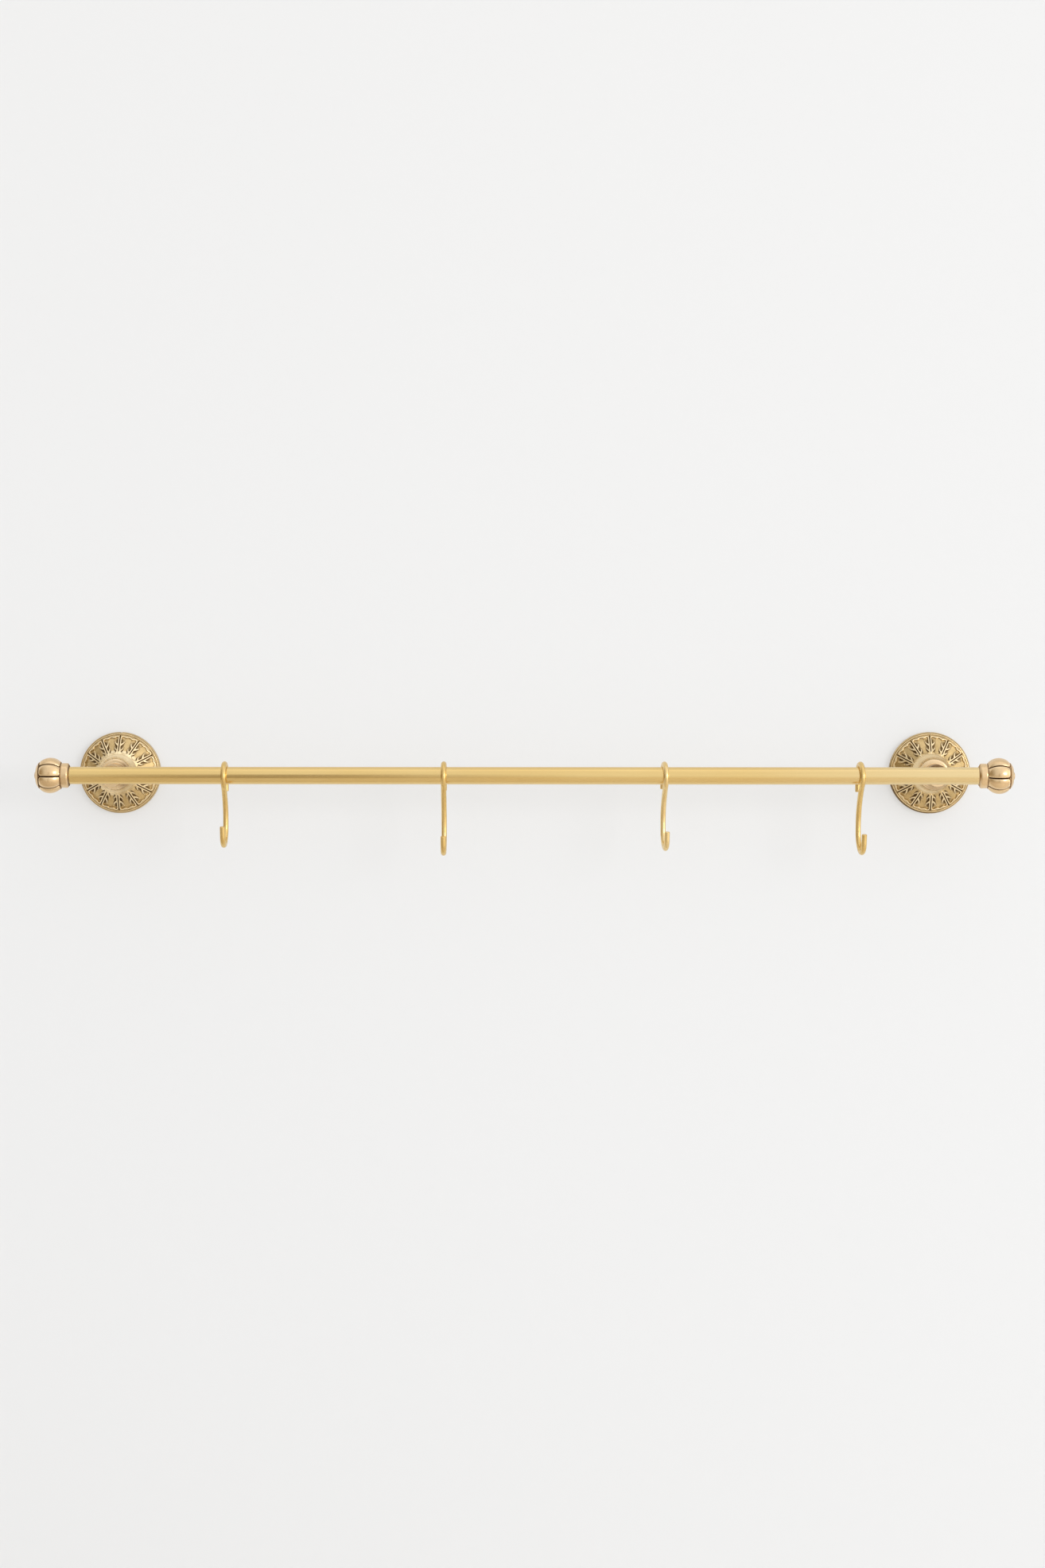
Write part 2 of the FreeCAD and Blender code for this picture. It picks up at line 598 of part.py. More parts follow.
def make_post_screw(side, sign):
    # Screw from the rosette's hollow back, through the post, into the slug
    body = new_body(side + "_post_screw")
    head_under = ROOF_UNDER + " - Sizes.screw_head_height"
    tip = "Sizes.rail_standoff + Sizes.screw_past_axis"
    turn_profile(body, "Revolution", "turning", [
        ("0", head_under),
        ("Sizes.screw_head_radius", head_under),
        ("Sizes.screw_head_radius", ROOF_UNDER),
        ("Sizes.screw_radius", ROOF_UNDER),
        ("Sizes.screw_radius", tip),
        ("0", tip),
    ])
    slot = new_sketch(body, "slot", "XY_Plane", lift=head_under)
    reach = "Sizes.screw_head_radius"
    half_slot = "Sizes.screw_slot_width / 2"
    draw_outline(slot, [
        ("-" + reach, "-" + half_slot),
        (reach, "-" + half_slot),
        (reach, half_slot),
        ("-" + reach, half_slot),
    ])
    cut_through(body, "driver_slot", slot, both_ways=False,
                length="Sizes.screw_slot_depth", backwards=True)
    place_on_wall(body, sign)
    return body


def make_wall_plate(side, sign):
    # Plate that is screwed to the wall; the set screws grip the groove in its edge
    body = new_body(side + "_wall_plate")
    groove_low = "Sizes.set_screw_height - Sizes.plate_groove_half"
    groove_high = "Sizes.set_screw_height + Sizes.plate_groove_half"
    turn_profile(body, "Revolution", "turning", [
        ("0", "0"),
        ("Sizes.plate_radius", "0"),
        ("Sizes.plate_radius", groove_low),
        ("Sizes.plate_radius - Sizes.plate_groove_depth", "Sizes.set_screw_height"),
        ("Sizes.plate_radius", groove_high),
        ("Sizes.plate_radius", "Sizes.plate_thickness"),
        ("0", "Sizes.plate_thickness"),
    ])
    holes = new_sketch(body, "holes", "XY_Plane")
    for end in (-1, 1):
        draw_circle(holes, "0", "%d * Sizes.plate_hole_spacing / 2" % end, "Sizes.plate_hole_radius")
    cut_through(body, "wall_screw_holes", holes, both_ways=True)
    for end, name in ((-1, "low"), (1, "high")):
        sink = add_feature(body, "SubtractiveCone", name + "_countersink",
                           Radius1="Sizes.plate_hole_radius", Radius2="Sizes.plate_sink_radius",
                           Height="Sizes.plate_sink_depth")
        sink.AttachmentSupport = [(origin_feature(body, "XY_Plane"), "")]
        sink.MapMode = "FlatFace"
        sink.setExpression("AttachmentOffset.Base.y", "%d * Sizes.plate_hole_spacing / 2" % end)
        sink.setExpression("AttachmentOffset.Base.z",
                           "Sizes.plate_thickness - Sizes.plate_sink_depth")
        doc.recompute()
    place_on_wall(body, sign)
    return body


def make_set_screw(side, sign, end, up):
    # Cone-point set screw along its own Z, from its point outwards
    body = new_body(side + "_" + end + "_set_screw")
    length = "(Sizes.rosette_radius - Sizes.set_screw_sunk - " + SET_TIP + ")"
    turn_profile(body, "Revolution", "turning", [
        ("0", "0"),
        ("Sizes.set_screw_point", "0"),
        ("Sizes.set_screw_radius", "Sizes.set_screw_radius - Sizes.set_screw_point"),
        ("Sizes.set_screw_radius", length),
        ("0", length),
    ])
    socket = new_sketch(body, "socket", "XY_Plane", lift=length)
    draw_outline(socket, [
        ("Sizes.set_screw_socket * cos(%d)" % turn, "Sizes.set_screw_socket * sin(%d)" % turn)
        for turn in range(30, 390, 60)
    ])
    cut_through(body, "hexagon_socket", socket, both_ways=False,
                length="Sizes.set_screw_socket_depth")
    body.Placement = Placement(Vector(), Rotation(Vector(1, 0, 0), 0 if up > 0 else 180))
    body.setExpression("Placement.Base.x", "%d * Sizes.post_spacing / 2" % sign)
    body.setExpression("Placement.Base.y", "-Sizes.set_screw_height")
    body.setExpression("Placement.Base.z", "%d * " % up + SET_TIP)
    return body


def draw_hook_path(sketch, hook):
    # Middle of the wire in the hook's own plane: sketch x runs to the wall, y up
    eye = value("Sizes.hook_eye_radius")
    eye_height = RAIL_RADIUS + " + Sizes.hook_rest_gap + " + WIRE_RADIUS + " - Sizes.hook_eye_radius"
    lowest = "(Sizes.%s_drop - %s)" % (hook, WIRE_RADIUS)
    bend = value("Sizes.hook_bend_radius")
    bowl = value("Sizes.hook_bowl_radius")
    back = value("Sizes.hook_back_reach")
    tail = "-Sizes.%s_tail_drop" % hook
    tip = "Sizes.%s_tip_rise - Sizes.%s_drop" % (hook, hook)
    lean = math.radians(value("Sizes.hook_tip_lean"))

    # Where the solver starts from: the same form worked out by hand
    eye_middle = Vector(0, value(eye_height), 0)
    bowl_middle = Vector(bowl - value("Sizes.hook_bowl_reach"), bowl - value(lowest), 0)
    bend_turn = math.acos((bowl_middle.x - back + bend) / (bend - bowl))
    bend_height = bowl_middle.y + (bend - bowl) * math.sin(bend_turn)
    stem_height = bend_height + value("Sizes.hook_stem_flat")
    fall = eye_middle.y - stem_height
    stem = (back ** 2 + fall ** 2 - eye ** 2) / (2 * (eye + back))
    eye_turn = math.asin(fall / (eye + stem))
    tip_foot = bowl_middle + Vector(-math.cos(lean), -math.sin(lean), 0) * bowl
    tip_run = (value(tip) - tip_foot.y) / math.cos(lean)

    def circle(centre, radius):
        return Part.Circle(centre, Vector(0, 0, 1), radius)

    tail_edge, eye_edge, stem_edge, flat_edge, bend_edge, bowl_edge, tip_edge = sketch.addGeometry([
        Part.LineSegment(Vector(eye, value(tail), 0), Vector(eye, eye_middle.y, 0)),
        Part.ArcOfCircle(circle(eye_middle, eye), 0, math.pi + eye_turn),
        Part.ArcOfCircle(circle(Vector(back - stem, stem_height, 0), stem), 0, eye_turn),
        Part.LineSegment(Vector(back, stem_height, 0), Vector(back, bend_height, 0)),
        Part.ArcOfCircle(circle(Vector(back - bend, bend_height, 0), bend), -bend_turn, 0),
        Part.ArcOfCircle(circle(bowl_middle, bowl), lean - math.pi, -bend_turn),
        Part.LineSegment(tip_foot, tip_foot + Vector(-math.sin(lean), math.cos(lean), 0) * tip_run),
    ])
    constrain(sketch, "Tangent", tail_edge, 2, eye_edge, 1)
    constrain(sketch, "Tangent", eye_edge, 2, stem_edge, 2)
    constrain(sketch, "Tangent", stem_edge, 1, flat_edge, 1)
    constrain(sketch, "Tangent", flat_edge, 2, bend_edge, 2)
    constrain(sketch, "Tangent", bend_edge, 1, bowl_edge, 2)
    constrain(sketch, "Tangent", bowl_edge, 1, tip_edge, 1)
    constrain(sketch, "Vertical", tail_edge)
    constrain(sketch, "Vertical", flat_edge)
    pin(sketch, eye_edge, 3, "0", eye_height)
    pin(sketch, bowl_edge, 3, "Sizes.hook_bowl_radius - Sizes.hook_bowl_reach",
        "Sizes.hook_bowl_radius - " + lowest)
    constrain(sketch, "Radius", eye_edge, eye, size="Sizes.hook_eye_radius")
    constrain(sketch, "Radius", bend_edge, bend, size="Sizes.hook_bend_radius")
    constrain(sketch, "Radius", bowl_edge, bowl, size="Sizes.hook_bowl_radius")
    constrain(sketch, "DistanceX", flat_edge, 1, back, size="Sizes.hook_back_reach")
    constrain(sketch, "Distance", flat_edge, value("Sizes.hook_stem_flat"),
              size="Sizes.hook_stem_flat")
    constrain(sketch, "DistanceY", tail_edge, 1, value(tail), size=tail)
    constrain(sketch, "DistanceY", tip_edge, 2, value(tip), size=tip)
    constrain(sketch, "Angle", tip_edge, math.pi / 2 + lean, size="90 + Sizes.hook_tip_lean")


def make_hook(hook):
    # Hook bent from one length of round wire; its tail and stem close under the rail
    body = new_body(hook)
    path = new_sketch(body, "path", "YZ_Plane")
    draw_hook_path(path, hook)
    section = new_sketch(body, "section", "XY_Plane", lift="-Sizes.%s_tail_drop" % hook)
    draw_circle(section, "0", "Sizes.hook_eye_radius", WIRE_RADIUS)
    doc.recompute()
    wire = add_feature(body, "AdditivePipe", "wire", section)
    wire.Spine = (path, [])
    doc.recompute()
    # Broken edges on the two cut ends
    ends = [
        "Edge%d" % number
        for number, edge in enumerate(wire.Shape.Edges, start=1)
        for face in wire.Shape.Faces
        if isinstance(face.Surface, Part.Plane) and any(e.isSame(edge) for e in face.Edges)
    ]
    chamfer = add_feature(body, "Chamfer", "cut_ends", Size="Sizes.wire_chamfer")
    chamfer.Base = (wire, ends)
    doc.recompute()
    body.Placement = Placement(Vector(), Rotation(Vector(0, 0, 1), value("Sizes.%s_turn" % hook)))
    place_on_rail(body, "Sizes.%s_share * Sizes.post_spacing" % hook)
    return body


pieces = [make_rail_tube()]
for side, sign in (("left", -1), ("right", 1)):
    pieces.append(make_rosette(side, sign))
    pieces.append(make_wall_plate(side, sign))
    pieces.append(make_set_screw(side, sign, "top", 1))
    pieces.append(make_set_screw(side, sign, "bottom", -1))
    pieces.append(make_post(side, sign))
    pieces.append(make_post_screw(side, sign))
    pieces.append(make_rail_slug(side, sign))
    pieces.append(make_end_plug(side, sign))
    pieces.append(make_finial_stud(side, sign))
    pieces.append(make_finial(side, sign))
pieces += [make_hook(hook) for hook, *sizes in HOOKS]
doc.recompute()

for item in doc.Objects:
    if "Invalid" in item.State or "Error" in item.State:
        raise RuntimeError(item.Name + " failed: " + ", ".join(item.State))
for piece in pieces:
    if piece.Shape.isNull() or not piece.Shape.isValid() or len(piece.Shape.Solids) != 1:
        raise RuntimeError(piece.Label + " is not one valid solid")

os.makedirs("parts", exist_ok=True)
for piece in pieces:
    piece.Shape.exportStep("parts/" + piece.Label + ".step")
    box = piece.Shape.BoundBox
    print("%-26s %9.1f mm3  x %.2f to %.2f  y %.2f to %.2f  z %.2f to %.2f" % (
        piece.Label, piece.Shape.Volume,
        box.XMin, box.XMax, box.YMin, box.YMax, box.ZMin, box.ZMax))
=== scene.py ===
import math

import bpy
import numpy as np
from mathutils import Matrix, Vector


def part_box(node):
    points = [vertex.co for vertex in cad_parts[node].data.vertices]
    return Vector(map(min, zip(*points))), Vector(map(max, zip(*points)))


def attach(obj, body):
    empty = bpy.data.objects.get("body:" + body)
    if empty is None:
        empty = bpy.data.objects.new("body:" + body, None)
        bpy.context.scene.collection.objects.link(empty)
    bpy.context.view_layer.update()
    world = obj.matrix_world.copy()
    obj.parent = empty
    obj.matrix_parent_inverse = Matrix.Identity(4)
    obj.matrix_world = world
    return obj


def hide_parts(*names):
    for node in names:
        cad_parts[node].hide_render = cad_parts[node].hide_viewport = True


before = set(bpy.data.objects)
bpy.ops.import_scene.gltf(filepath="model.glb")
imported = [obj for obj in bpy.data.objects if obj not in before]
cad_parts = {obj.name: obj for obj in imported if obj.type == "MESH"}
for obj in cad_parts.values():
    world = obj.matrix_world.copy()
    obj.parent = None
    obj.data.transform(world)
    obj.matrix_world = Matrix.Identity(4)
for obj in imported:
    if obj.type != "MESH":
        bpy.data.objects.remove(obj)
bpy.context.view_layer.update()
scene = bpy.context.scene
mm = 0.001
fullTurn = 2 * math.pi
rootBody = "rail"
print("frame loaded:", len(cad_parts), "nodes")


# small helpers for numbers

def mix(a, b, t):
    return a + (b - a) * t


def ramp(low, high, x):
    # smooth step from 0 at low to 1 at high
    t = np.clip((x - low) / (high - low), 0.0, 1.0)
    return t * t * (3.0 - 2.0 * t)


def softLine(offset, width):
    # 1 on a line, fading out on both sides of it
    return np.exp(-(offset / width) ** 2)


def facing(turn, middle):
    # 1 where turn, in radians, points to middle, in degrees
    return np.cos(turn - math.radians(middle))


def roundedMin(a, b, radius):
    # inner distance to the corner where two edges meet, rounded off
    corner = radius - np.hypot(np.maximum(radius - a, 0.0), np.maximum(radius - b, 0.0))
    return np.where((a < radius) & (b < radius), corner, np.minimum(a, b))


def waver(seed, count, x):
    # gentle unevenness about zero along x, which is in turns
    draw = np.random.default_rng(seed)
    total = np.zeros_like(x)
    for wave in range(1, count + 1):
        total += draw.uniform(-1, 1) * np.sin(fullTurn * (wave * x + draw.uniform()))
    return total / math.sqrt(count)


# small helpers for meshes

def addToScene(name, data):
    thing = bpy.data.objects.new(name, data)
    scene.collection.objects.link(thing)
    return thing


def gridFaces(rows, columns, closeRows=False):
    # quads of a grid whose columns run right round
    row = np.arange(rows if closeRows else rows - 1)[:, None]
    column = np.arange(columns)[None, :]
    nextRow = (row + 1) % rows
    nextColumn = (column + 1) % columns
    corners = [row * columns + column, row * columns + nextColumn,
               nextRow * columns + nextColumn, nextRow * columns + column]
    return np.stack([np.broadcast_to(c, (len(row), columns)).ravel() for c in corners], axis=1)


def spreadRings(rings, turn):
    # radius, height and mark of each ring, and the turn, at every point of the grid
    spread = [np.repeat(rings[:, i:i + 1], len(turn), axis=1) for i in range(3)]
    return (*spread, np.repeat(turn[None, :], len(rings), axis=0))


def makePiece(name, points, faces, material, body, node, sharpAngle, shades=None):
    mesh = bpy.data.meshes.new(name)
    mesh.from_pydata([tuple(p) for p in points.reshape(-1, 3)], [], [tuple(f) for f in faces])
    for shade, values in (shades or {}).items():
        layer = mesh.attributes.new(shade, "FLOAT", "POINT")
        layer.data.foreach_set("value", np.asarray(values, np.float32).ravel())
    mesh.validate()
    mesh.polygons.foreach_set("use_smooth", np.ones(len(mesh.polygons), bool))
    mesh.set_sharp_from_angle(angle=math.radians(sharpAngle))
    mesh.materials.append(material)
    piece = addToScene(name, mesh)
    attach(piece, body)
    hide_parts(node)


def roundOver(profile, radii, steps):
    # profile corners (radius, height), each rounded by an arc where its radius isn't 0
    result = []
    count = len(profile)
    for here, (corner, radius) in enumerate(zip(profile, radii)):
        corner = np.array(corner, float)
        if not radius:
            result.append(corner)
            continue
        before = np.array(profile[here - 1], float) - corner
        after = np.array(profile[(here + 1) % count], float) - corner
        before, after = before / np.linalg.norm(before), after / np.linalg.norm(after)
        half = math.acos(np.clip(before @ after, -1, 1)) / 2
        reach = radius / math.tan(half)
        bisector = (before + after) / np.linalg.norm(before + after)
        centre = corner + bisector * radius / math.sin(half)
        first, last = corner + before * reach - centre, corner + after * reach - centre
        for step in range(steps + 1):
            way = mix(first, last, step / steps)
            result.append(centre + way / np.linalg.norm(way) * radius)
    return np.array(result)


# small helpers for materials

def addNode(tree, kind, **values):
    node = tree.nodes.new(kind)
    for name, value in values.items():
        if hasattr(node, name):
            setattr(node, name, value)
        else:
            node.inputs[name.replace("_", " ")].default_value = value
    return node


def feed(tree, value, socket):
    # value is a number, a colour or another node's socket
    if isinstance(value, bpy.types.NodeSocket):
        tree.links.new(value, socket)
    elif isinstance(value, tuple):
        socket.default_value = (*value, 1.0)
    else:
        socket.default_value = value


def startMaterial(name):
    material = bpy.data.materials.new(name)
    material.use_nodes = True
    tree = material.node_tree
    return material, tree, tree.nodes["Principled BSDF"]


def grainTexture(tree, stretch=(1.0, 1.0, 1.0), scale=1.0, detail=3.0):
    place = addNode(tree, "ShaderNodeTexCoord")
    shift = addNode(tree, "ShaderNodeMapping", Scale=stretch)
    grain = addNode(tree, "ShaderNodeTexNoise", Scale=scale, Detail=detail, Roughness=0.6)
    tree.links.new(place.outputs["Object"], shift.inputs["Vector"])
    tree.links.new(shift.outputs["Vector"], grain.inputs["Vector"])
    return grain.outputs["Fac"]


def blendColours(tree, amount, first, second):
    blend = addNode(tree, "ShaderNodeMix", data_type="RGBA")
    feed(tree, amount, blend.inputs["Factor"])
    feed(tree, first, blend.inputs[6])
    feed(tree, second, blend.inputs[7])
    return blend.outputs[2]


def spreadRange(tree, value, span, to=(0.0, 1.0)):
    spread = addNode(tree, "ShaderNodeMapRange")
    for name, number in zip(("From Min", "From Max", "To Min", "To Max"), (*span, *to)):
        spread.inputs[name].default_value = number
    tree.links.new(value, spread.inputs["Value"])
    return spread.outputs["Result"]


def combine(tree, operation, *values):
    node = addNode(tree, "ShaderNodeMath", operation=operation, use_clamp=True)
    for value, socket in zip(values, node.inputs):
        feed(tree, value, socket)
    return node.outputs[0]


def mixShaders(tree, amount, first, second):
    both = addNode(tree, "ShaderNodeMixShader")
    for value, socket in zip((amount, first, second), both.inputs):
        tree.links.new(value, socket)
    return both.outputs[0]


def shareAlongX(tree, span):
    # 0 at the span's start and 1 at its end, in metres along the rail
    place = addNode(tree, "ShaderNodeTexCoord")
    parts = addNode(tree, "ShaderNodeSeparateXYZ")
    tree.links.new(place.outputs["Object"], parts.inputs[0])
    return spreadRange(tree, parts.outputs["X"], span)


def addBump(tree, shader, height, strength, distance):
    bump = addNode(tree, "ShaderNodeBump", Strength=strength, Distance=distance)
    tree.links.new(height, bump.inputs["Height"])
    tree.links.new(bump.outputs["Normal"], shader.inputs["Normal"])


# brass and steel finishes

spans = {  # part of a noise's 0 to 1 that is spread over the finish's whole range
    "drawnCloud": (0.35, 0.68), "drawnLine": (0.3, 0.75), "drawnRough": (0.25, 0.75),
    "castCloud": (0.36, 0.66), "castSpeckle": (0.52, 0.74), "castGrain": (0.3, 0.7),
    "castRecess": (0.75, 1.15),   # what the grain multiplies a recess by
    "steelLine": (0.3, 0.7),
}
lineBump = 0.00005   # metres
castBump = 0.0001


def drawnBrass(name, look):
    # satin brass with fine lines along the stretch, and soft lighter and browner clouds
    material, tree, shader = startMaterial(name)
    lines = grainTexture(tree, stretch=look["lineStretch"], detail=4.0)
    clouds = grainTexture(tree, stretch=look["cloudStretch"], detail=3.0)
    cloudy = spreadRange(tree, clouds, spans["drawnCloud"])
    colour = blendColours(tree, cloudy, look["colour"], look["cloudColour"])
    if "paleEnd" in look:
        colour = blendColours(tree, shareAlongX(tree, look["paleEnd"]), colour, look["paleColour"])
    liny = spreadRange(tree, lines, spans["drawnLine"], (0.0, look["lineTone"]))
    feed(tree, blendColours(tree, liny, colour, look["lineColour"]), shader.inputs["Base Color"])
    feed(tree, spreadRange(tree, lines, spans["drawnRough"], look["roughness"]), shader.inputs["Roughness"])
    shader.inputs["Metallic"].default_value = 1.0
    if "turnedAxis" in look:
        shader.inputs["Anisotropic"].default_value = look["anisotropy"]
        around = addNode(tree, "ShaderNodeTangent", direction_type="RADIAL", axis=look["turnedAxis"])
        tree.links.new(around.outputs["Tangent"], shader.inputs["Tangent"])
    addBump(tree, shader, lines, look["bump"], lineBump)
    return material


def carvedBrass(name, look):
    # cast brass: brown patina in the recesses and painted shade, both from one attribute, rubbed bright on
    # the crests, grainy fields
    material, tree, shader = startMaterial(name)
    grain = grainTexture(tree, scale=look["grainScale"], detail=5.0)
    clouds = grainTexture(tree, scale=look["cloudScale"], detail=3.0)
    patinaAndShade = addNode(tree, "ShaderNodeAttribute", attribute_name="patinaAndShade").outputs["Fac"]
    crest = addNode(tree, "ShaderNodeAttribute", attribute_name="crest").outputs["Fac"]
    cloudy = spreadRange(tree, clouds, spans["castCloud"])
    field = blendColours(tree, cloudy, look["field"], look["fieldCloud"])
    speckle = spreadRange(tree, grain, spans["castSpeckle"], (0.0, look["speckle"]))
    field = blendColours(tree, speckle, field, look["patinaAndShade"])
    rubbed = blendColours(tree, crest, field, look["crest"])
    grainy = spreadRange(tree, grain, spans["castGrain"], spans["castRecess"])
    uneven = combine(tree, "MULTIPLY_ADD", patinaAndShade, grainy, 0.0)
    feed(tree, blendColours(tree, uneven, rubbed, look["patinaAndShade"]), shader.inputs["Base Color"])
    rough = spreadRange(tree, grain, spans["castGrain"], look["roughness"])
    rough = combine(tree, "MULTIPLY_ADD", uneven, look["recessRough"], rough)
    feed(tree, rough, shader.inputs["Roughness"])
    shader.inputs["Metallic"].default_value = 1.0
    addBump(tree, shader, grain, look["bump"], castBump)
    return material


def platedSteel(name, look):
    material, tree, shader = startMaterial(name)
    lines = grainTexture(tree, stretch=look["lineStretch"], detail=3.0)
    tone = spreadRange(tree, lines, spans["steelLine"])
    feed(tree, blendColours(tree, tone, look["colour"], look["lineColour"]), shader.inputs["Base Color"])
    feed(tree, spreadRange(tree, lines, spans["steelLine"], look["roughness"]), shader.inputs["Roughness"])
    shader.inputs["Metallic"].default_value = 1.0
    addBump(tree, shader, lines, look["bump"], lineBump)
    return material


railFinish = drawnBrass("railBrass", {
    "colour": (0.83, 0.61, 0.265),
    "cloudColour": (0.80, 0.57, 0.23),
    "paleEnd": (0.16, 0.30),
    "paleColour": (0.84, 0.655, 0.345),
    "lineColour": (0.70, 0.48, 0.18),
    "lineTone": 0.22,
    "lineStretch": (7.0, 800.0, 800.0),
    "cloudStretch": (9.0, 50.0, 50.0),
    "roughness": (0.17, 0.24),
    "turnedAxis": "X",
    "anisotropy": 0.8,
    "bump": 0.05,
})
hookLook = {
    "colour": (0.81, 0.59, 0.25),
    "cloudColour": (0.74, 0.51, 0.19),
    "lineColour": (0.62, 0.40, 0.13),
    "lineTone": 0.3,
    "lineStretch": (900.0, 500.0, 60.0),
    "cloudStretch": (120.0, 120.0, 90.0),
    "roughness": (0.20, 0.32),
    "bump": 0.15,
}
hookFinish = drawnBrass("hookBrass", hookLook)
# painted light: a lighter copy of the hook brass, for the third hook
paintedLightHookFinish = drawnBrass("paintedLightHookBrass", {
    **hookLook,
    "colour": (0.88, 0.69, 0.36),
    "cloudColour": (0.84, 0.62, 0.29),
})
rosetteFinish = carvedBrass("rosetteBrass", {
    "field": (0.585, 0.415, 0.188),
    "fieldCloud": (0.72, 0.525, 0.255),
    "crest": (1.0, 0.82, 0.52),
    "patinaAndShade": (0.095, 0.050, 0.016),
    "speckle": 0.20,
    "grainScale": 1500.0,
    "cloudScale": 160.0,
    "roughness": (0.20, 0.30),
    "recessRough": 0.25,
    "bump": 0.35,
})
turnedFinish = carvedBrass("turnedBrass", {
    "field": (0.82, 0.60, 0.345),
    "fieldCloud": (0.77, 0.55, 0.31),
    "crest": (0.96, 0.75, 0.47),
    "patinaAndShade": (0.11, 0.050, 0.016),
    "speckle": 0.05,
    "grainScale": 1400.0,
    "cloudScale": 120.0,
    "roughness": (0.20, 0.28),
    "recessRough": 0.25,
    "bump": 0.12,
})
innerFinish = drawnBrass("innerBrass", {
    "colour": (0.70, 0.51, 0.22),
    "cloudColour": (0.62, 0.43, 0.17),
    "lineColour": (0.45, 0.30, 0.11),
    "lineTone": 0.3,
    "lineStretch": (700.0, 40.0, 40.0),
    "cloudStretch": (80.0, 80.0, 80.0),
    "roughness": (0.32, 0.45),
    "bump": 0.2,
})
steelFinish = platedSteel("platedSteel", {
    "colour": (0.60, 0.60, 0.60),
    "lineColour": (0.48, 0.48, 0.49),
    "lineStretch": (60.0, 900.0, 900.0),
    "roughness": (0.26, 0.40),
    "bump": 0.2,
})
print("finishes ready")


# rail tube

railLow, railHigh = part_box("rail_tube")
railY = (railLow.y + railHigh.y) / 2
railRadius = (railHigh.z - railLow.z) / 2
railTube = {"wall": 1.2, "edgeBreak": 0.25, "around": 96, "ringStep": 6.0, "sharpAngle": 40}


def makeRail():
    inner = railRadius - railTube["wall"] * mm
    edge = railTube["edgeBreak"] * mm
    runs = int((railHigh.x - railLow.x) / (railTube["ringStep"] * mm))
    along = np.linspace(railLow.x + edge, railHigh.x - edge, runs)
    rings = [(railRadius - edge, railLow.x)] + [(railRadius, x) for x in along]
    rings += [(railRadius - edge, railHigh.x), (inner, railHigh.x), (inner, railLow.x)]
    turn = np.linspace(0, fullTurn, railTube["around"], endpoint=False)
    rows = [np.stack([np.full_like(turn, x), railY + r * np.cos(turn), r * np.sin(turn)], axis=1)
            for r, x in rings]
    faces = gridFaces(len(rings), len(turn), closeRows=True)
    makePiece("railTube", np.array(rows), faces, railFinish, rootBody, "rail_tube",
              railTube["sharpAngle"])


makeRail()
print("rail made")


# rosettes, in mm

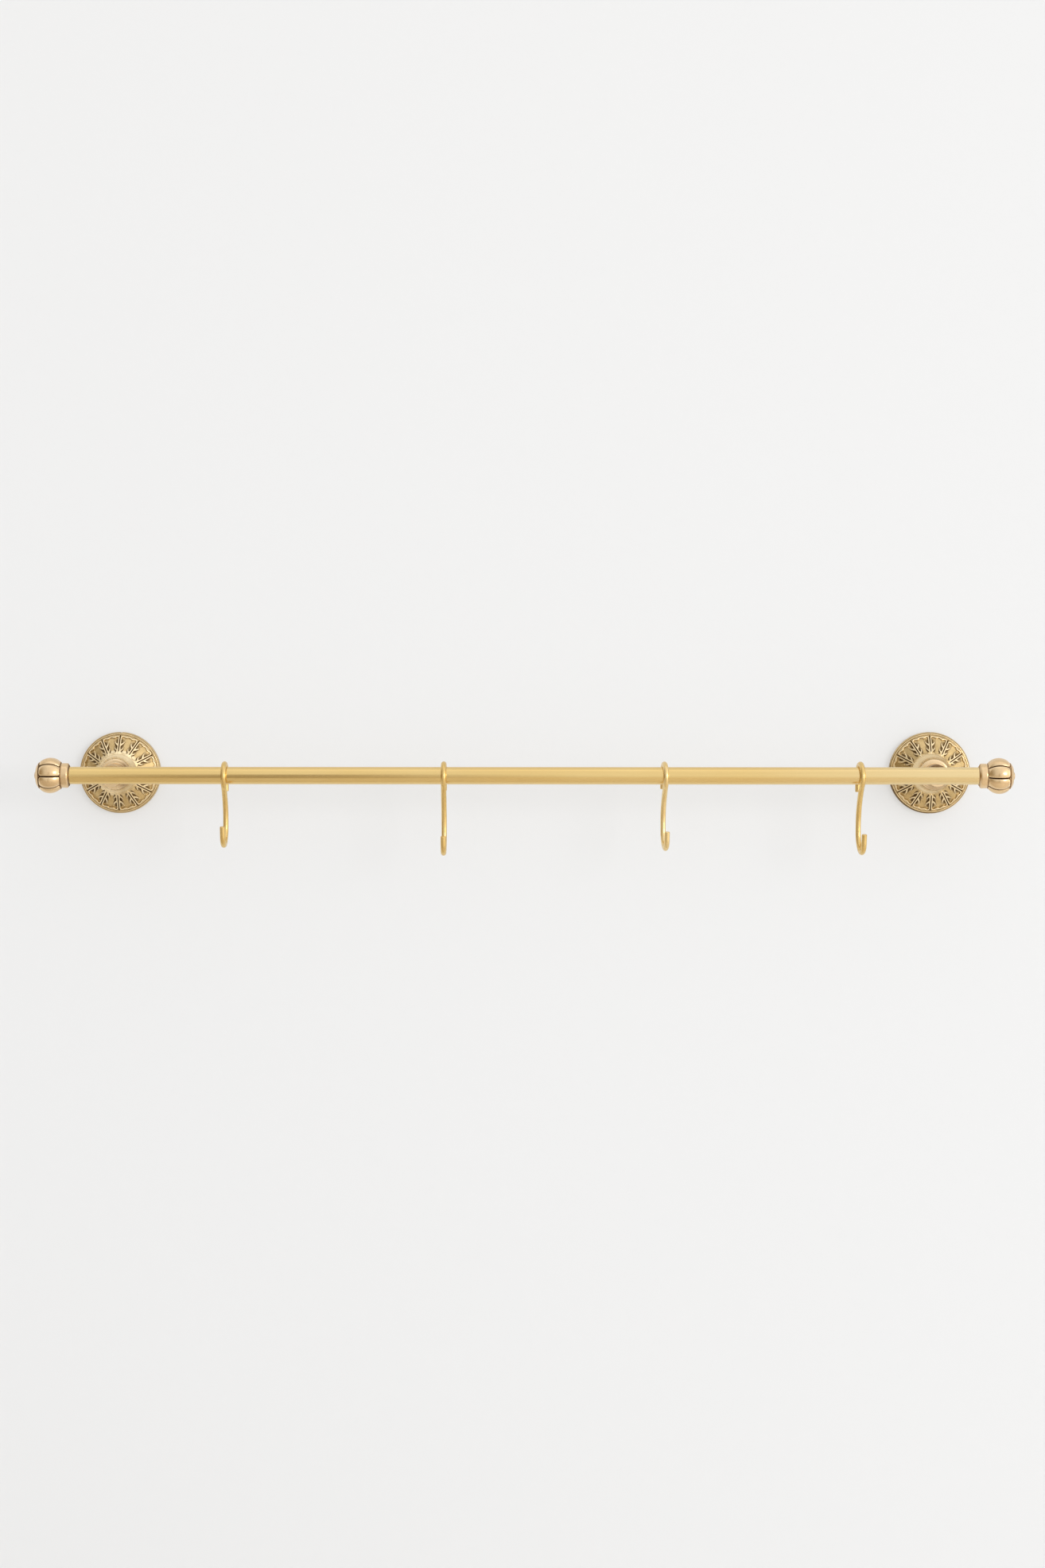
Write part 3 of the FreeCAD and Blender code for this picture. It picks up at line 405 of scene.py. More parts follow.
rosette = {
    # casting
    "petals": 12,
    "around": 50,                 # mesh columns to one petal
    "crowding": 0.38,             # how much closer the columns stand at the grooves
    "sharpAngle": 60,
    "rimWall": 3.0,
    "rimHeight": 4.2,
    "rimWidth": 2.3,
    "rimRise": 1.05,
    "rimStep": ((0.12, 0.9), (0.35, 0.85)),   # out from the petals and above the rim
    "rimSide": 1.7,               # height of the straight outside
    "rimSideRings": (1.6, 0.8, 0.25),
    "backBreak": 0.25,
    "beadPlace": 0.75,
    "beadHalf": 0.5,
    "beadGap": 0.12,
    "beadRings": (-0.9, 1.0, 9),
    "bandRings": (0.12, math.pi / 2, 9),
    "bandDrop": (0.05, 0.15),     # rounded rim and the line beside it, below the bead's middle
    "edgeHeight": 6.0,
    "innerHeight": 18.0,
    "hubBase": 13.6,
    "hubFoot": 0.95,              # cone's foot beyond its base
    "hubTop": 10.3,
    "hubBreak": (0.25, 0.2),      # broken edge of the cone's top, across and down
    "hubFlare": 2.0,
    "topRings": 3,
    "hubRings": (0.04, 0.97, 18),
    "petalRings": 106,
    "hubWall": 2.4,
    "hubRoof": 3.5,
    "spigotHole": 3.7,
    "castingWall": 3.0,
    "bulge": 0.5,                 # petal zone above its straight slope
    # carving
    "relief": 0.95,               # fields below the raised lines
    "fieldWall": (-0.12, 0.42),
    "lineWall": (-0.2, 0.12),
    "bowl": 0.3,                  # fields' middle below their edges
    "bowlReach": (0.2, 2.6),
    "ledge": 0.35,                # border outside the wavy line below that line
    "lineWidth": 0.8,
    "lineCrest": (0.38, 0.42, 0.15),   # place, half width and lift of a line's crest
    "crestFlat": 1.25,
    "groove": (0.34, 0.40),       # half width near the hub and at the rim
    "grooveRun": (16.0, 10.0),    # start and length of that widening
    "grooveStart": (15.0, 16.8),
    "grooveShut": 0.4,
    "waveRadius": 27.35,
    "wave": 0.3,
    "halfWaves": 6,               # to one petal
    "waveUneven": 0.35,
    "unevenWave": (5, 31),        # seed and waves
    "cornerRound": 1.4,
    "endMiddle": 18.1,            # round inner end of a field
    "endRadius": 3.35,
    "barbs": (                    # foot and tip along and across the groove, then half widths
        ((16.9, 1.0), (19.9, 3.5), 0.8, 0.28),
        ((20.9, 1.0), (24.3, 4.0), 0.85, 0.28),
    ),
    "barbBend": 0.35,
    "barbEdge": (0.3, 0.22),
    "barbFoot": -0.15,            # the foot runs on a little, under the line
    "barbHeight": 1.05,           # share of the relief
    "barbTipHeight": 0.7,
    # brown patina and painted shade in the carving
    "besideTone": (0.5, 0.5),     # painted shade beside the raised lines: share and reach
    "besideStart": (16.5, 18.5),
    "besideFade": (-0.05, 0.12),
    # painted shadow under the barbs, towards the hub
    "barbTone": 0.9,
    "barbShadow": (1.1, 0.1),     # painted shadow on the barb's inner side: inward and across
    "crotch": (3.4, 1.5),         # between groove and barbs
    "crotchRun": ((16.2, 17.2), (25.6, 24.2)),
    "crotchTone": (0.72, 0.28),   # patina all round, and painted shade more towards the lower left
    "crotchTurn": 250.0,
    "crotchTurnSpan": (-0.6, 0.8),
    # painted shade in the deep inner ends of the fields
    "endTone": 0.2,
    "endReach": (2.6, 0.4),
    "endFade": (-0.1, 0.3),
    "mottle": (2.4, 1.1),         # step and start, in radians
    "ledgeLine": 0.22,
    "ledgeTone": (0.35, 0.3),
    "unevenLedge": (7, 25),
    "ledgeCrest": 0.3,
    # brown patina, painted shade and rubbed bright on the rim and the cone
    "faceHeight": 1.0,            # lower than this is the rim's side
    "petalFade": (0.5, 1.4),
    "petalTrim": 0.05,
    "rimLine": (0.2, 0.25),
    "bandLine": (0.8, 0.22),
    "bandFade": (-0.2, 0.1),
    "rimFade": (0.2, 0.7),
    "lineTone": (0.45, 0.4),
    "unevenRim": {"left": (11, 40), "right": (12, 40)},   # seed and waves
    "rimTone": 0.06,
    "beadTone": 0.75,
    "beadGlow": 0.42,
    "rimBrown": 0.08,
    "rimShade": {"left": 0.15, "right": 0.75},   # painted shade at the lower left
    "rimShadeTurn": 225.0,
    "rimShadeSpan": (0.2, 0.9),
    # rubbed-bright tone of the cone, lower on the right rosette as painted shade, with painted shade on one
    # side
    "hubTone": {"left": 0.95, "right": 0.55},
    "hubShade": {"left": 0.75, "right": 0.45},
    "hubShadeTurn": {"left": 118.0, "right": 95.0},
    "hubShadeSpan": (0.1, 0.8),
    "hubShadeStart": (10.0, 11.5),
    "hubEdge": {"left": (18.6, 15.8), "right": (15.6, 14.2)},
    "hubDepth": 4.0,
    # how each casting sits
    "turns": {"left": 1.3, "right": -0.9},                    # degrees
    "shift": {"left": (-0.7, -0.15), "right": (-0.2, 0.0)},   # to the side and up, off its post
}


def barbMask(along, across):
    total = np.zeros_like(along)
    softIn, softOut = rosette["barbEdge"]
    for foot, tip, wide, thin in rosette["barbs"]:
        way = np.array(tip) - np.array(foot)
        place = ((along - foot[0]) * way[0] + (across - foot[1]) * way[1]) / (way @ way)
        place = np.clip(place, rosette["barbFoot"], 1.0)
        bend = rosette["barbBend"] * np.sin(math.pi * np.clip(place, 0, 1))
        offAlong = along - (foot[0] + way[0] * place - bend)
        offAcross = across - (foot[1] + way[1] * place + bend)
        half = mix(wide, thin, np.clip(place, 0, 1))
        edge = 1 - ramp(half - softIn, half + softOut, np.hypot(offAlong, offAcross))
        total = np.maximum(total, edge * mix(1.0, rosette["barbTipHeight"], place))
    return total


def petalRelief(radius, turn):
    # height change in mm with recess and crest shades, at polar places in mm and radians
    r = rosette
    pitch = fullTurn / r["petals"]
    offset = (turn + pitch / 2) % pitch - pitch / 2
    number = np.floor((turn + pitch / 2) / pitch)
    along, across = radius * np.cos(offset), np.abs(radius * np.sin(offset))   # to the groove
    swing = pitch / 2 - np.abs(offset)
    down, aside = radius * np.cos(swing), radius * np.sin(swing)               # to the petal's middle

    # distances to the groove's side, the wavy line, and both
    openness = ramp(*r["grooveStart"], along)
    wideStart, wideRun = r["grooveRun"]
    grooveHalf = mix(*r["groove"], np.clip((along - wideStart) / wideRun, 0, 1)) * openness
    side = across - (grooveHalf - r["grooveShut"] * (1 - openness))
    ripple = np.cos(swing / (pitch / r["halfWaves"]) * math.pi)
    ripple = ripple + r["waveUneven"] * waver(*r["unevenWave"], turn / fullTurn)
    outer = r["waveRadius"] + r["wave"] * ripple - radius
    inside = roundedMin(side, outer, r["cornerRound"])
    inner = down < r["endMiddle"]
    toEnd = r["endRadius"] - np.hypot(down - r["endMiddle"], aside)
    pocket = inside - r["lineWidth"]
    pocket = np.where(inner, np.minimum(pocket, toEnd), pocket)

    # fields, grooves, ledge and the lines' crests
    barb = barbMask(along, across)
    sunk = ramp(*r["fieldWall"], pocket)
    low = 1 - ramp(*r["lineWall"], side)
    ledge = (1 - ramp(*r["lineWall"], outer)) * (1 - low)
    bowl = r["bowl"] * ramp(*r["bowlReach"], pocket)
    height = -r["relief"] * sunk * (1 - r["barbHeight"] * barb) - bowl * (1 - barb)
    height -= r["relief"] * low + r["ledge"] * ledge
    crestPlace, crestHalf, crestLift = r["lineCrest"]
    lift = np.clip(r["crestFlat"] - np.abs(inside - crestPlace) / crestHalf, 0, 1)
    height += crestLift * lift

    # brown where the patina stays, painted shade beside lines, barbs and field ends, bright where it is
    # rubbed off
    # painted shade in the fields along the foot of the raised lines
    besideShare, besideReach = r["besideTone"]
    beside = np.exp(-np.maximum(pocket, 0) / besideReach) * ramp(*r["besideFade"], pocket)
    beside = besideShare * beside * (1 - barb) * ramp(*r["besideStart"], down)
    # painted shadow on the hub side of each barb
    inward, sideways = r["barbShadow"]
    nearBarb = np.clip(barbMask(along + inward, across - sideways) - barb, 0, 1) * sunk
    # brown patina between groove and barbs, with painted shade stronger towards the lower left
    crotch = ramp(*r["crotch"], side) * (1 - barb) * sunk
    for span in r["crotchRun"]:
        crotch = crotch * ramp(*span, along)
    evenly, more = r["crotchTone"]
    crotch = crotch * (evenly + more * ramp(*r["crotchTurnSpan"], facing(turn, r["crotchTurn"])))
    step, start = r["mottle"]
    mottle = 0.5 + 0.5 * np.sin(number * step + start)   # differs from petal to petal
    # painted shade in the inner ends of the fields, stronger on some petals
    deepEnd = ramp(*r["endReach"], toEnd) * ramp(*r["endFade"], pocket) * inner * mottle
    mean, swell = r["ledgeTone"]
    ledgeLine = softLine(outer + r["ledgeLine"], r["ledgeLine"])
    ledgeLine = ledgeLine * np.clip(mean + swell * waver(*r["unevenLedge"], turn / fullTurn), 0, 1)
    patinaAndShade = low + beside + r["barbTone"] * nearBarb + crotch + r["endTone"] * deepEnd + ledgeLine
    crest = np.maximum(lift, barb * sunk) * (1 - low) * (1 - ledge) + r["ledgeCrest"] * ledge
    return height, np.clip(patinaAndShade, 0, 1), np.clip(crest, 0, 1)


def rosetteRings(hubHeight, outerRadius):
    # rings of the closed section as (radius, height, is it the petal slope), in mm
    r = rosette
    petalEdge = outerRadius - r["rimWidth"]
    breakAcross, breakDown = r["hubBreak"]
    foot = r["hubBase"] + r["hubFoot"]
    rings = [(r["spigotHole"], hubHeight, 0)]
    for radius in np.linspace(r["spigotHole"] + 1, r["hubTop"] - breakAcross, r["topRings"]):
        rings.append((radius, hubHeight, 0))
    rings += [(r["hubTop"], hubHeight - breakDown, 0)]
    for t in np.linspace(*r["hubRings"]):
        rings.append((mix(r["hubTop"], foot, t ** r["hubFlare"]), mix(hubHeight, r["innerHeight"], t), 0))
    for radius in np.linspace(foot, petalEdge, r["petalRings"]):
        t = (radius - r["hubBase"]) / (petalEdge - r["hubBase"])
        slope = mix(r["innerHeight"], r["edgeHeight"], t)
        rings.append((radius, slope + r["bulge"] * math.sin(math.pi * t), 1))
    rings += [(petalEdge + out, r["rimHeight"] + up, 0) for out, up in r["rimStep"]]
    bead, half = petalEdge + r["beadPlace"], r["beadHalf"]
    top = r["rimHeight"] + r["rimRise"]
    for t in np.linspace(*r["beadRings"]):
        rings.append((bead + half * t, top - half * (1 - math.sqrt(1 - t * t)), 0))
    band = bead + half + r["beadGap"]
    bandDrop, lineDrop = r["bandDrop"]
    rings += [(band, top - half - lineDrop, 0)]
    for t in np.linspace(*r["bandRings"]):
        rings.append((band + (outerRadius - band) * math.sin(t),
                      mix(r["rimSide"], top - half - bandDrop, math.cos(t)), 0))
    rings += [(outerRadius, x, 0) for x in r["rimSideRings"]]
    rimInner = outerRadius - r["rimWall"]
    rings += [(outerRadius - r["backBreak"], 0.0, 0), (rimInner, 0.0, 0)]
    rings += [(rimInner, r["edgeHeight"] - r["castingWall"], 0)]
    rings += [(r["hubBase"] - r["hubWall"], r["innerHeight"] - r["castingWall"], 0)]
    rings += [(r["hubTop"] - r["hubWall"], hubHeight - r["hubRoof"], 0)]
    rings += [(r["spigotHole"], hubHeight - r["hubRoof"], 0)]
    return np.array(rings), petalEdge, band


def shadeRim(side, radius, height, turn, petalEdge, band):
    # patina and painted shade at the lower left, and crest of the rim, its bead and the lines beside it
    r = rosette
    front = height > r["faceHeight"]
    place, width = r["rimLine"]
    line = softLine(radius - petalEdge - place, width) * front
    share, width = r["bandLine"]
    line = np.maximum(line, share * softLine(radius - band, width) * front)
    mean, swell = r["lineTone"]
    uneven = waver(*r["unevenRim"][side], turn / fullTurn)
    line = line * np.clip(mean + swell * uneven, 0, 1)
    fadeIn, fadeOut = r["rimFade"]
    rim = ramp(petalEdge + fadeIn, petalEdge + fadeOut, radius) * front
    # painted shade on the outer rim towards the lower left
    lowerLeft = ramp(*r["rimShadeSpan"], facing(turn, r["rimShadeTurn"]))
    outerRim = ramp(*r["bandFade"], radius - band) * rim
    patinaAndShade = np.maximum(line, (r["rimBrown"] + r["rimShade"][side] * lowerLeft) * outerRim)
    bead = softLine(radius - petalEdge - r["beadPlace"], r["beadGlow"]) * rim
    return patinaAndShade, np.maximum(r["rimTone"] * rim, r["beadTone"] * bead)


def shadeHub(side, radius, height, turn):
    # crest of the smooth cone, with painted shade on one side
    r = rosette
    hub = (height > r["innerHeight"] - r["hubDepth"]) * ramp(*r["hubEdge"][side], radius)
    away = ramp(*r["hubShadeSpan"], facing(turn, r["hubShadeTurn"][side]))
    away = away * ramp(*r["hubShadeStart"], radius)
    return hub * (r["hubTone"][side] - r["hubShade"][side] * away)


def makeRosette(side):
    low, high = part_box(side + "_rosette")
    centreX = (low.x + high.x) / 2
    rings, petalEdge, band = rosetteRings(-low.y / mm, (high.x - low.x) / 2 / mm)
    pitch = fullTurn / rosette["petals"]
    share = np.linspace(-1, 1, rosette["around"], endpoint=False)
    spaced = mix(share, share ** 3, rosette["crowding"]) * pitch / 2
    turn = (np.arange(rosette["petals"])[:, None] * pitch + spaced[None, :]).ravel()
    radius, height, slope, turns = spreadRings(rings, turn)
    change, patinaAndShade, crest = petalRelief(radius, turns)
    fadeIn, fadeOut = rosette["petalFade"]
    fade = slope * ramp(rosette["hubBase"] + fadeIn, rosette["hubBase"] + fadeOut, radius)
    height = height + change * fade
    # the rim starts with a clean edge
    patinaAndShade = np.where(radius > petalEdge - rosette["petalTrim"], 0.0, patinaAndShade * fade)
    rimPatinaAndShade, rimCrest = shadeRim(side, radius, height, turns, petalEdge, band)
    hubCrest = shadeHub(side, radius, height, turns)
    patinaAndShade = np.maximum(patinaAndShade, rimPatinaAndShade)
    crest = np.maximum.reduce([crest * fade, rimCrest, hubCrest])
    face = turns + math.radians(rosette["turns"][side])
    aside, up = rosette["shift"][side]
    points = np.stack([centreX + (aside + radius * np.sin(face)) * mm,
                       -height * mm,
                       (up + radius * np.cos(face)) * mm], axis=2)
    faces = gridFaces(len(rings), len(turn), closeRows=True)
    makePiece(side + "Rosette", points, faces, rosetteFinish, rootBody,
              side + "_rosette", rosette["sharpAngle"], {"patinaAndShade": patinaAndShade, "crest": crest})


for side in ("left", "right"):
    makeRosette(side)
print("rosettes made")


# posts, in mm

post = {
    "bore": 2.75,
    "spigot": 3.6,
    "spigotLength": 3.0,
    "disc": 11.2,
    "discThickness": 3.2,
    "discRound": 1.3,
    "neck": 8.0,
    "neckCove": 0.8,
    "neckBreak": 0.3,
    "saddleRings": (7.3, 6.7, 6.3, 5.6, 4.6, 3.6),
    "saddleClearance": 0.05,
    "saddleStart": 5.0,           # above the disc
    "around": 120,
    "roundSteps": 7,
    "sharpAngle": 40,
    "discTone": 0.9,
    "neckTone": 0.5,
    # painted shade in the cove where the neck meets the disc
    "coveTone": 0.06,
    "coveReach": (1.0, 0.9),      # along and across
    "discEdge": 0.5,
    # painted shade on one side of the disc
    "discShade": {"left": 0.7, "right": 0.4},
    "discShadeTurn": {"left": 95.0, "right": 150.0},
    "discShadeSpan": (0.1, 0.9),
    "discShadeRun": (-2.4, 1.2),  # from below the disc's top to above it
    "hornShade": {"left": 0.3, "right": 0.9},   # painted shadow on the upper tip of the saddle
    "hornShadeStart": (5.0, 6.6),
}


def makePost(side):
    low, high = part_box(side + "_post")
    centreX = (low.x + high.x) / 2
    start = -high.y / mm
    seat = start + post["spigotLength"]
    top = seat + post["discThickness"]
    hornEnd = -low.y / mm
    profile = [(post["bore"], start), (post["spigot"], start), (post["spigot"], seat),
               (post["disc"], seat), (post["disc"], top), (post["neck"], top), (post["neck"], hornEnd)]
    radii = [0, 0, 0, post["discRound"], post["discRound"], post["neckCove"], post["neckBreak"]]
    saddleRings = (*post["saddleRings"], post["bore"])
    profile += [(radius, hornEnd) for radius in saddleRings]
    radii += [0] * len(saddleRings)
    rings = roundOver(profile, radii, post["roundSteps"])
    turn = np.linspace(0, fullTurn, post["around"], endpoint=False)
    bearing = railRadius / mm + post["saddleClearance"]
    duller = ramp(*post["discShadeSpan"], facing(turn, post["discShadeTurn"][side]))
    shadeLow, shadeHigh = post["discShadeRun"]
    coveAlong, coveAcross = post["coveReach"]
    rows, patinaAndShade, crest = [], [], []
    for radius, height in rings:
        across = radius * np.cos(turn)
        saddle = -railY / mm - np.sqrt(bearing ** 2 - np.minimum(np.abs(across), bearing) ** 2)
        atEnd = height > top + post["saddleStart"]
        tall = np.minimum(height, saddle) if atEnd else np.full_like(turn, height)
        rows.append(np.stack([centreX + radius * mm * np.sin(turn), -tall * mm, across * mm], axis=1))
        # painted shade in the cove and on one side of the disc, painted shadow on the saddle's upper tip
        inCove = abs(height - top) < coveAlong and radius < post["neck"] + coveAcross
        onDisc = top + shadeLow < height < top + shadeHigh and radius > post["neck"] - 0.1
        shade = post["coveTone"] * inCove + post["discShade"][side] * duller * onDisc
        horn = post["hornShade"][side] * ramp(*post["hornShadeStart"], across)
        patinaAndShade.append(np.where(atEnd, horn, shade))
        outermost = radius > post["disc"] - post["discEdge"]
        crest.append(np.full_like(turn, post["discTone"] if outermost else post["neckTone"]))
    faces = gridFaces(len(rings), len(turn), closeRows=True)
    makePiece(side + "Post", np.array(rows), faces, turnedFinish, rootBody,
              side + "_post", post["sharpAngle"], {"patinaAndShade": patinaAndShade, "crest": crest})


for side in ("left", "right"):
    makePost(side)
print("posts made")


# finials, in mm from the solid's inner end

finial = {
    "socket": 6.45,
    "socketDepth": 4.0,
    "thread": 3.02,
    "threadEnd": 14.5,
    "lip": 6.9,
    "lipBreak": (0.25, 0.12),     # broken edge of the lip, across and along
    "lipStart": 0.95,
    "lipLength": 2.3,
    "lipRings": (0.25, 0.5, 0.75, 0.9),
    "collar": 9.0,
    "collarRings": (0.3, 1.0, 0.35, 5),   # after the lip twice, before the end, and count
    "collarBreak": (0.12, 0.08),
    "collarEnd": {"left": 7.3, "right": 6.8},
    "lineDepth": 0.75,            # line between collar and ball
    "lineWidth": 0.6,
    "lineStep": 0.1,
    "ball": 13.15,
    "curve": 10.9,
    "middle": 15.7,
    "endOffset": 10.1,
    "ballRings": 110,
    "lobes": 8,
    "channelDepth": 1.35,
    "channelHalf": 0.72,
    "channelShares": (0.35, 0.25),   # of the depth, straight and rounded
    "lobeRound": 0.75,
    "lobeShoulder": 4.3,
    "endLine": 7.6,               # end of the lobes beyond the ball's middle
    "endLineSlope": 1.6,
    "lobeCorner": 2.4,
    "button": 2.9,
    "buttonRise": 1.5,
    "buttonFoot": 0.45,
    "buttonCove": (0.6, 0.25, 0.1),   # share of the slope, then across and along
    "buttonRings": 8,
    "centre": 0.05,               # smallest ring, round the axis
    "around": 320,
    "ballFade": (-0.05, 0.5),
    "lobeFade": (0.1, -0.5),
    "sharpAngle": 45,
    "turns": {"left": -2.0, "right": -6.5},   # degrees
    "channelTone": 1.25,
    "channelFull": 0.65,
    "channelGlow": (0.25, 0.6),   # share and reach of brown beside a channel
    "endTone": {"left": 0.85, "right": 0.5},
    "endReach": (1.6, 0.4),
    "crestLine": (1.05, 0.4, 0.8),   # place, width and share of the bright line beside a channel
    "collarLine": (0.7, 0.36, 7.5),   # share, width and smallest radius
    "buttonLine": (0.8, 0.2, 0.35, 0.3),   # share, place, width and reach along
    # painted shade on the lip's chamfer, where it meets the rail
    "lipTone": {"left": 0.85, "right": 0.45},
    "lipShade": (1.0, 0.4),
}


def finialRings(side):
    # rings of the closed section as (radius, height, is it the ball), in mm
    f = finial
    collarEnd = f["collarEnd"][side]
    shift = collarEnd - f["collarEnd"]["right"]
    lipStart, lipEnd = f["lipStart"] + shift, f["lipLength"] + shift
    ballStart = collarEnd + f["lineWidth"]
    across, along = f["lipBreak"]
    edge, edgeStart = f["lip"] + across, lipStart + along
    lineFloor = f["collar"] - f["lineDepth"]
    rings = [(f["socket"], lipStart, 0), (f["lip"], lipStart, 0), (edge, edgeStart, 0)]
    rings += [(mix(edge, f["collar"], t), mix(edgeStart, lipEnd, t), 0) for t in f["lipRings"]]
    nearLip, pastLip, nearEnd, count = f["collarRings"]
    rings += [(f["collar"], lipEnd + nearLip, 0)]
    for x in np.linspace(lipEnd + pastLip, collarEnd - nearEnd, count):
        rings.append((f["collar"], x, 0))
    across, along = f["collarBreak"]
    rings += [(f["collar"] - across, collarEnd - along, 0)]
    rings += [(lineFloor, collarEnd + f["lineStep"], 0), (lineFloor, ballStart - f["lineStep"], 0)]
    first = math.asin((ballStart - f["middle"]) / f["curve"])
    last = math.asin(f["endOffset"] / f["curve"])
    for a in np.linspace(first, last, f["ballRings"]):
        rings.append((f["ball"] - f["curve"] + f["curve"] * math.cos(a),
                      f["middle"] + f["curve"] * math.sin(a), 1))
    endFace = f["middle"] + f["endOffset"]
    foot = endFace + f["buttonFoot"]
    share, across, along = f["buttonCove"]
    rings += [(mix(rings[-1][0], f["button"], share), endFace + share * f["buttonFoot"], 0)]
    rings += [(f["button"] + across, foot - along, 0), (f["button"], foot, 0)]
    dome = f["buttonRise"] - f["buttonFoot"] - along
    for t in np.linspace(0, math.pi / 2, f["buttonRings"]):
        rings.append((f["centre"] + (f["button"] - f["centre"]) * math.cos(t),
                      foot + along + dome * math.sin(t), 0))
    rings += [(f["centre"], f["threadEnd"], 0), (f["thread"], f["threadEnd"], 0)]
    rings += [(f["thread"], f["socketDepth"], 0), (f["socket"], f["socketDepth"], 0)]
    return np.array(rings), lipStart, ballStart, foot


def makeFinial(side, sign):
    f = finial
    low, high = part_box(side + "_finial")
    innerX = low.x if sign > 0 else high.x
    rings, lipStart, ballStart, foot = finialRings(side)
    turn = np.linspace(0, fullTurn, f["around"], endpoint=False)
    radius, height, onBall, turns = spreadRings(rings, turn)

    # channels between the lobes, which end in a rounded line
    pitch = fullTurn / f["lobes"]
    offset = (turns + pitch / 2) % pitch - pitch / 2
    across = np.abs(radius * np.sin(offset))
    endLine = f["middle"] + f["endLine"]
    toEnd = endLine - height
    beyond = -f["endLineSlope"] * toEnd
    inside = np.where(toEnd > 0, roundedMin(across, toEnd, f["lobeCorner"]), beyond)
    cut = np.clip(1 - np.maximum(inside, 0) / f["channelHalf"], 0, 1)
    shoulder = np.clip(1 - across / f["lobeShoulder"], 0, 1) ** 2
    onBall = onBall * ramp(*f["ballFade"], height - ballStart)
    onLobe = ramp(*f["lobeFade"], -toEnd)
    straight, rounded = f["channelShares"]
    depth = f["channelDepth"] * (straight * cut + rounded * ramp(0, 1, cut))
    radius = radius - onBall * (depth + f["lobeRound"] * shoulder * onLobe)

    # brown patina in the channels and lines, bright beside them, painted shade on the lip where it meets
    # the rail
    share, reach = f["channelGlow"]
    brown = f["channelTone"] * ramp(0.0, f["channelFull"], cut) + share * np.exp(-across / reach) * onLobe
    nearEnd = mix(1.0, f["endTone"][side], ramp(*f["endReach"], np.abs(toEnd)))
    patinaAndShade = onBall * nearEnd * np.clip(brown, 0, 1)
    place, width, share = f["crestLine"]
    crest = onBall * share * softLine(inside - place, width) * onLobe
    share, width, least = f["collarLine"]
    lineMiddle = ballStart - f["lineWidth"] / 2
    collarLine = share * softLine(height - lineMiddle, width) * (radius > least)
    share, place, width, reach = f["buttonLine"]
    buttonLine = share * softLine(radius - f["button"] - place, width) * (np.abs(height - foot) < reach)
    # painted shade on the lip's chamfer, where it meets the rail
    lipEnd, lipFull = f["lipShade"]
    lipPaintedShade = ramp(lipStart + lipEnd, lipStart + lipFull, height) * (radius > f["socket"] - 0.01)
    patinaAndShade = np.maximum.reduce([patinaAndShade, collarLine, buttonLine, f["lipTone"][side] * lipPaintedShade])

    face = turns + math.radians(f["turns"][side])
    points = np.stack([innerX + sign * height * mm,
                       railY - radius * mm * np.cos(face),
                       radius * mm * np.sin(face)], axis=2)
    faces = gridFaces(len(rings), len(turn), closeRows=True)
    makePiece(side + "Finial", points, faces, turnedFinish, rootBody,
              side + "_finial", f["sharpAngle"], {"patinaAndShade": patinaAndShade, "crest": crest})


for side, sign in (("left", -1), ("right", 1)):
    makeFinial(side, sign)
print("finials made")


# hooks, in mm and degrees

wire = {
    "radius": 1.95,
    "uneven": 0.012,              # share of the radius
    "unevenWaves": 9,
    "sway": 0.05,
    "swayWaves": 5,
    "eye": 9.05,
    "restGap": 0.2,
    "back": 6.3,
    "flat": 3.0,
    "bend": 16.0,
    "bowl": 7.6,
    "bowlReach": 12.25,
    "lean": 8.0,                  # of the tip, to the room
    "twistRun": (-8.0, -28.0),    # heights between which eyeTurn becomes turn
    "around": 28,
    "step": 0.6,
    "edgeBreak": 0.4,
    "centre": 0.02,               # share of the radius left flat in the middle of an end
    "sharpAngle": 40,
}
hooks = {
    "hook_1": {"place": -217.35, "eyeTurn": -1.0, "turn": -1.5, "drop": 52.3, "tipRise": 15.9,
               "tail": 11.8, "seed": 21, "finish": hookFinish},
    "hook_2": {"place": -58.0, "eyeTurn": 0.0, "turn": 0.0, "drop": 57.88, "tipRise": 14.6,
               "tail": 11.4, "seed": 22, "finish": hookFinish},
    "hook_3": {"place": 102.1, "eyeTurn": 6.5, "turn": 7.5, "drop": 54.3, "tipRise": 14.4,
               "tail": 10.1, "seed": 23, "finish": paintedLightHookFinish},
    "hook_4": {"place": 244.0, "eyeTurn": 7.0, "turn": 8.5, "drop": 57.2, "tipRise": 15.5,
               "tail": 12.1, "seed": 24, "finish": hookFinish},
}


def linePoints(start, end):
    count = max(2, int(math.dist(start, end) / wire["step"]))
    return [mix(np.array(start), np.array(end), t) for t in np.linspace(0, 1, count, endpoint=False)]


def arcPoints(centre, radius, first, last):
    count = max(3, int(abs(last - first) * radius / wire["step"]))
    return [np.array(centre) + radius * np.array([math.cos(a), math.sin(a)])
            for a in np.linspace(first, last, count, endpoint=False)]


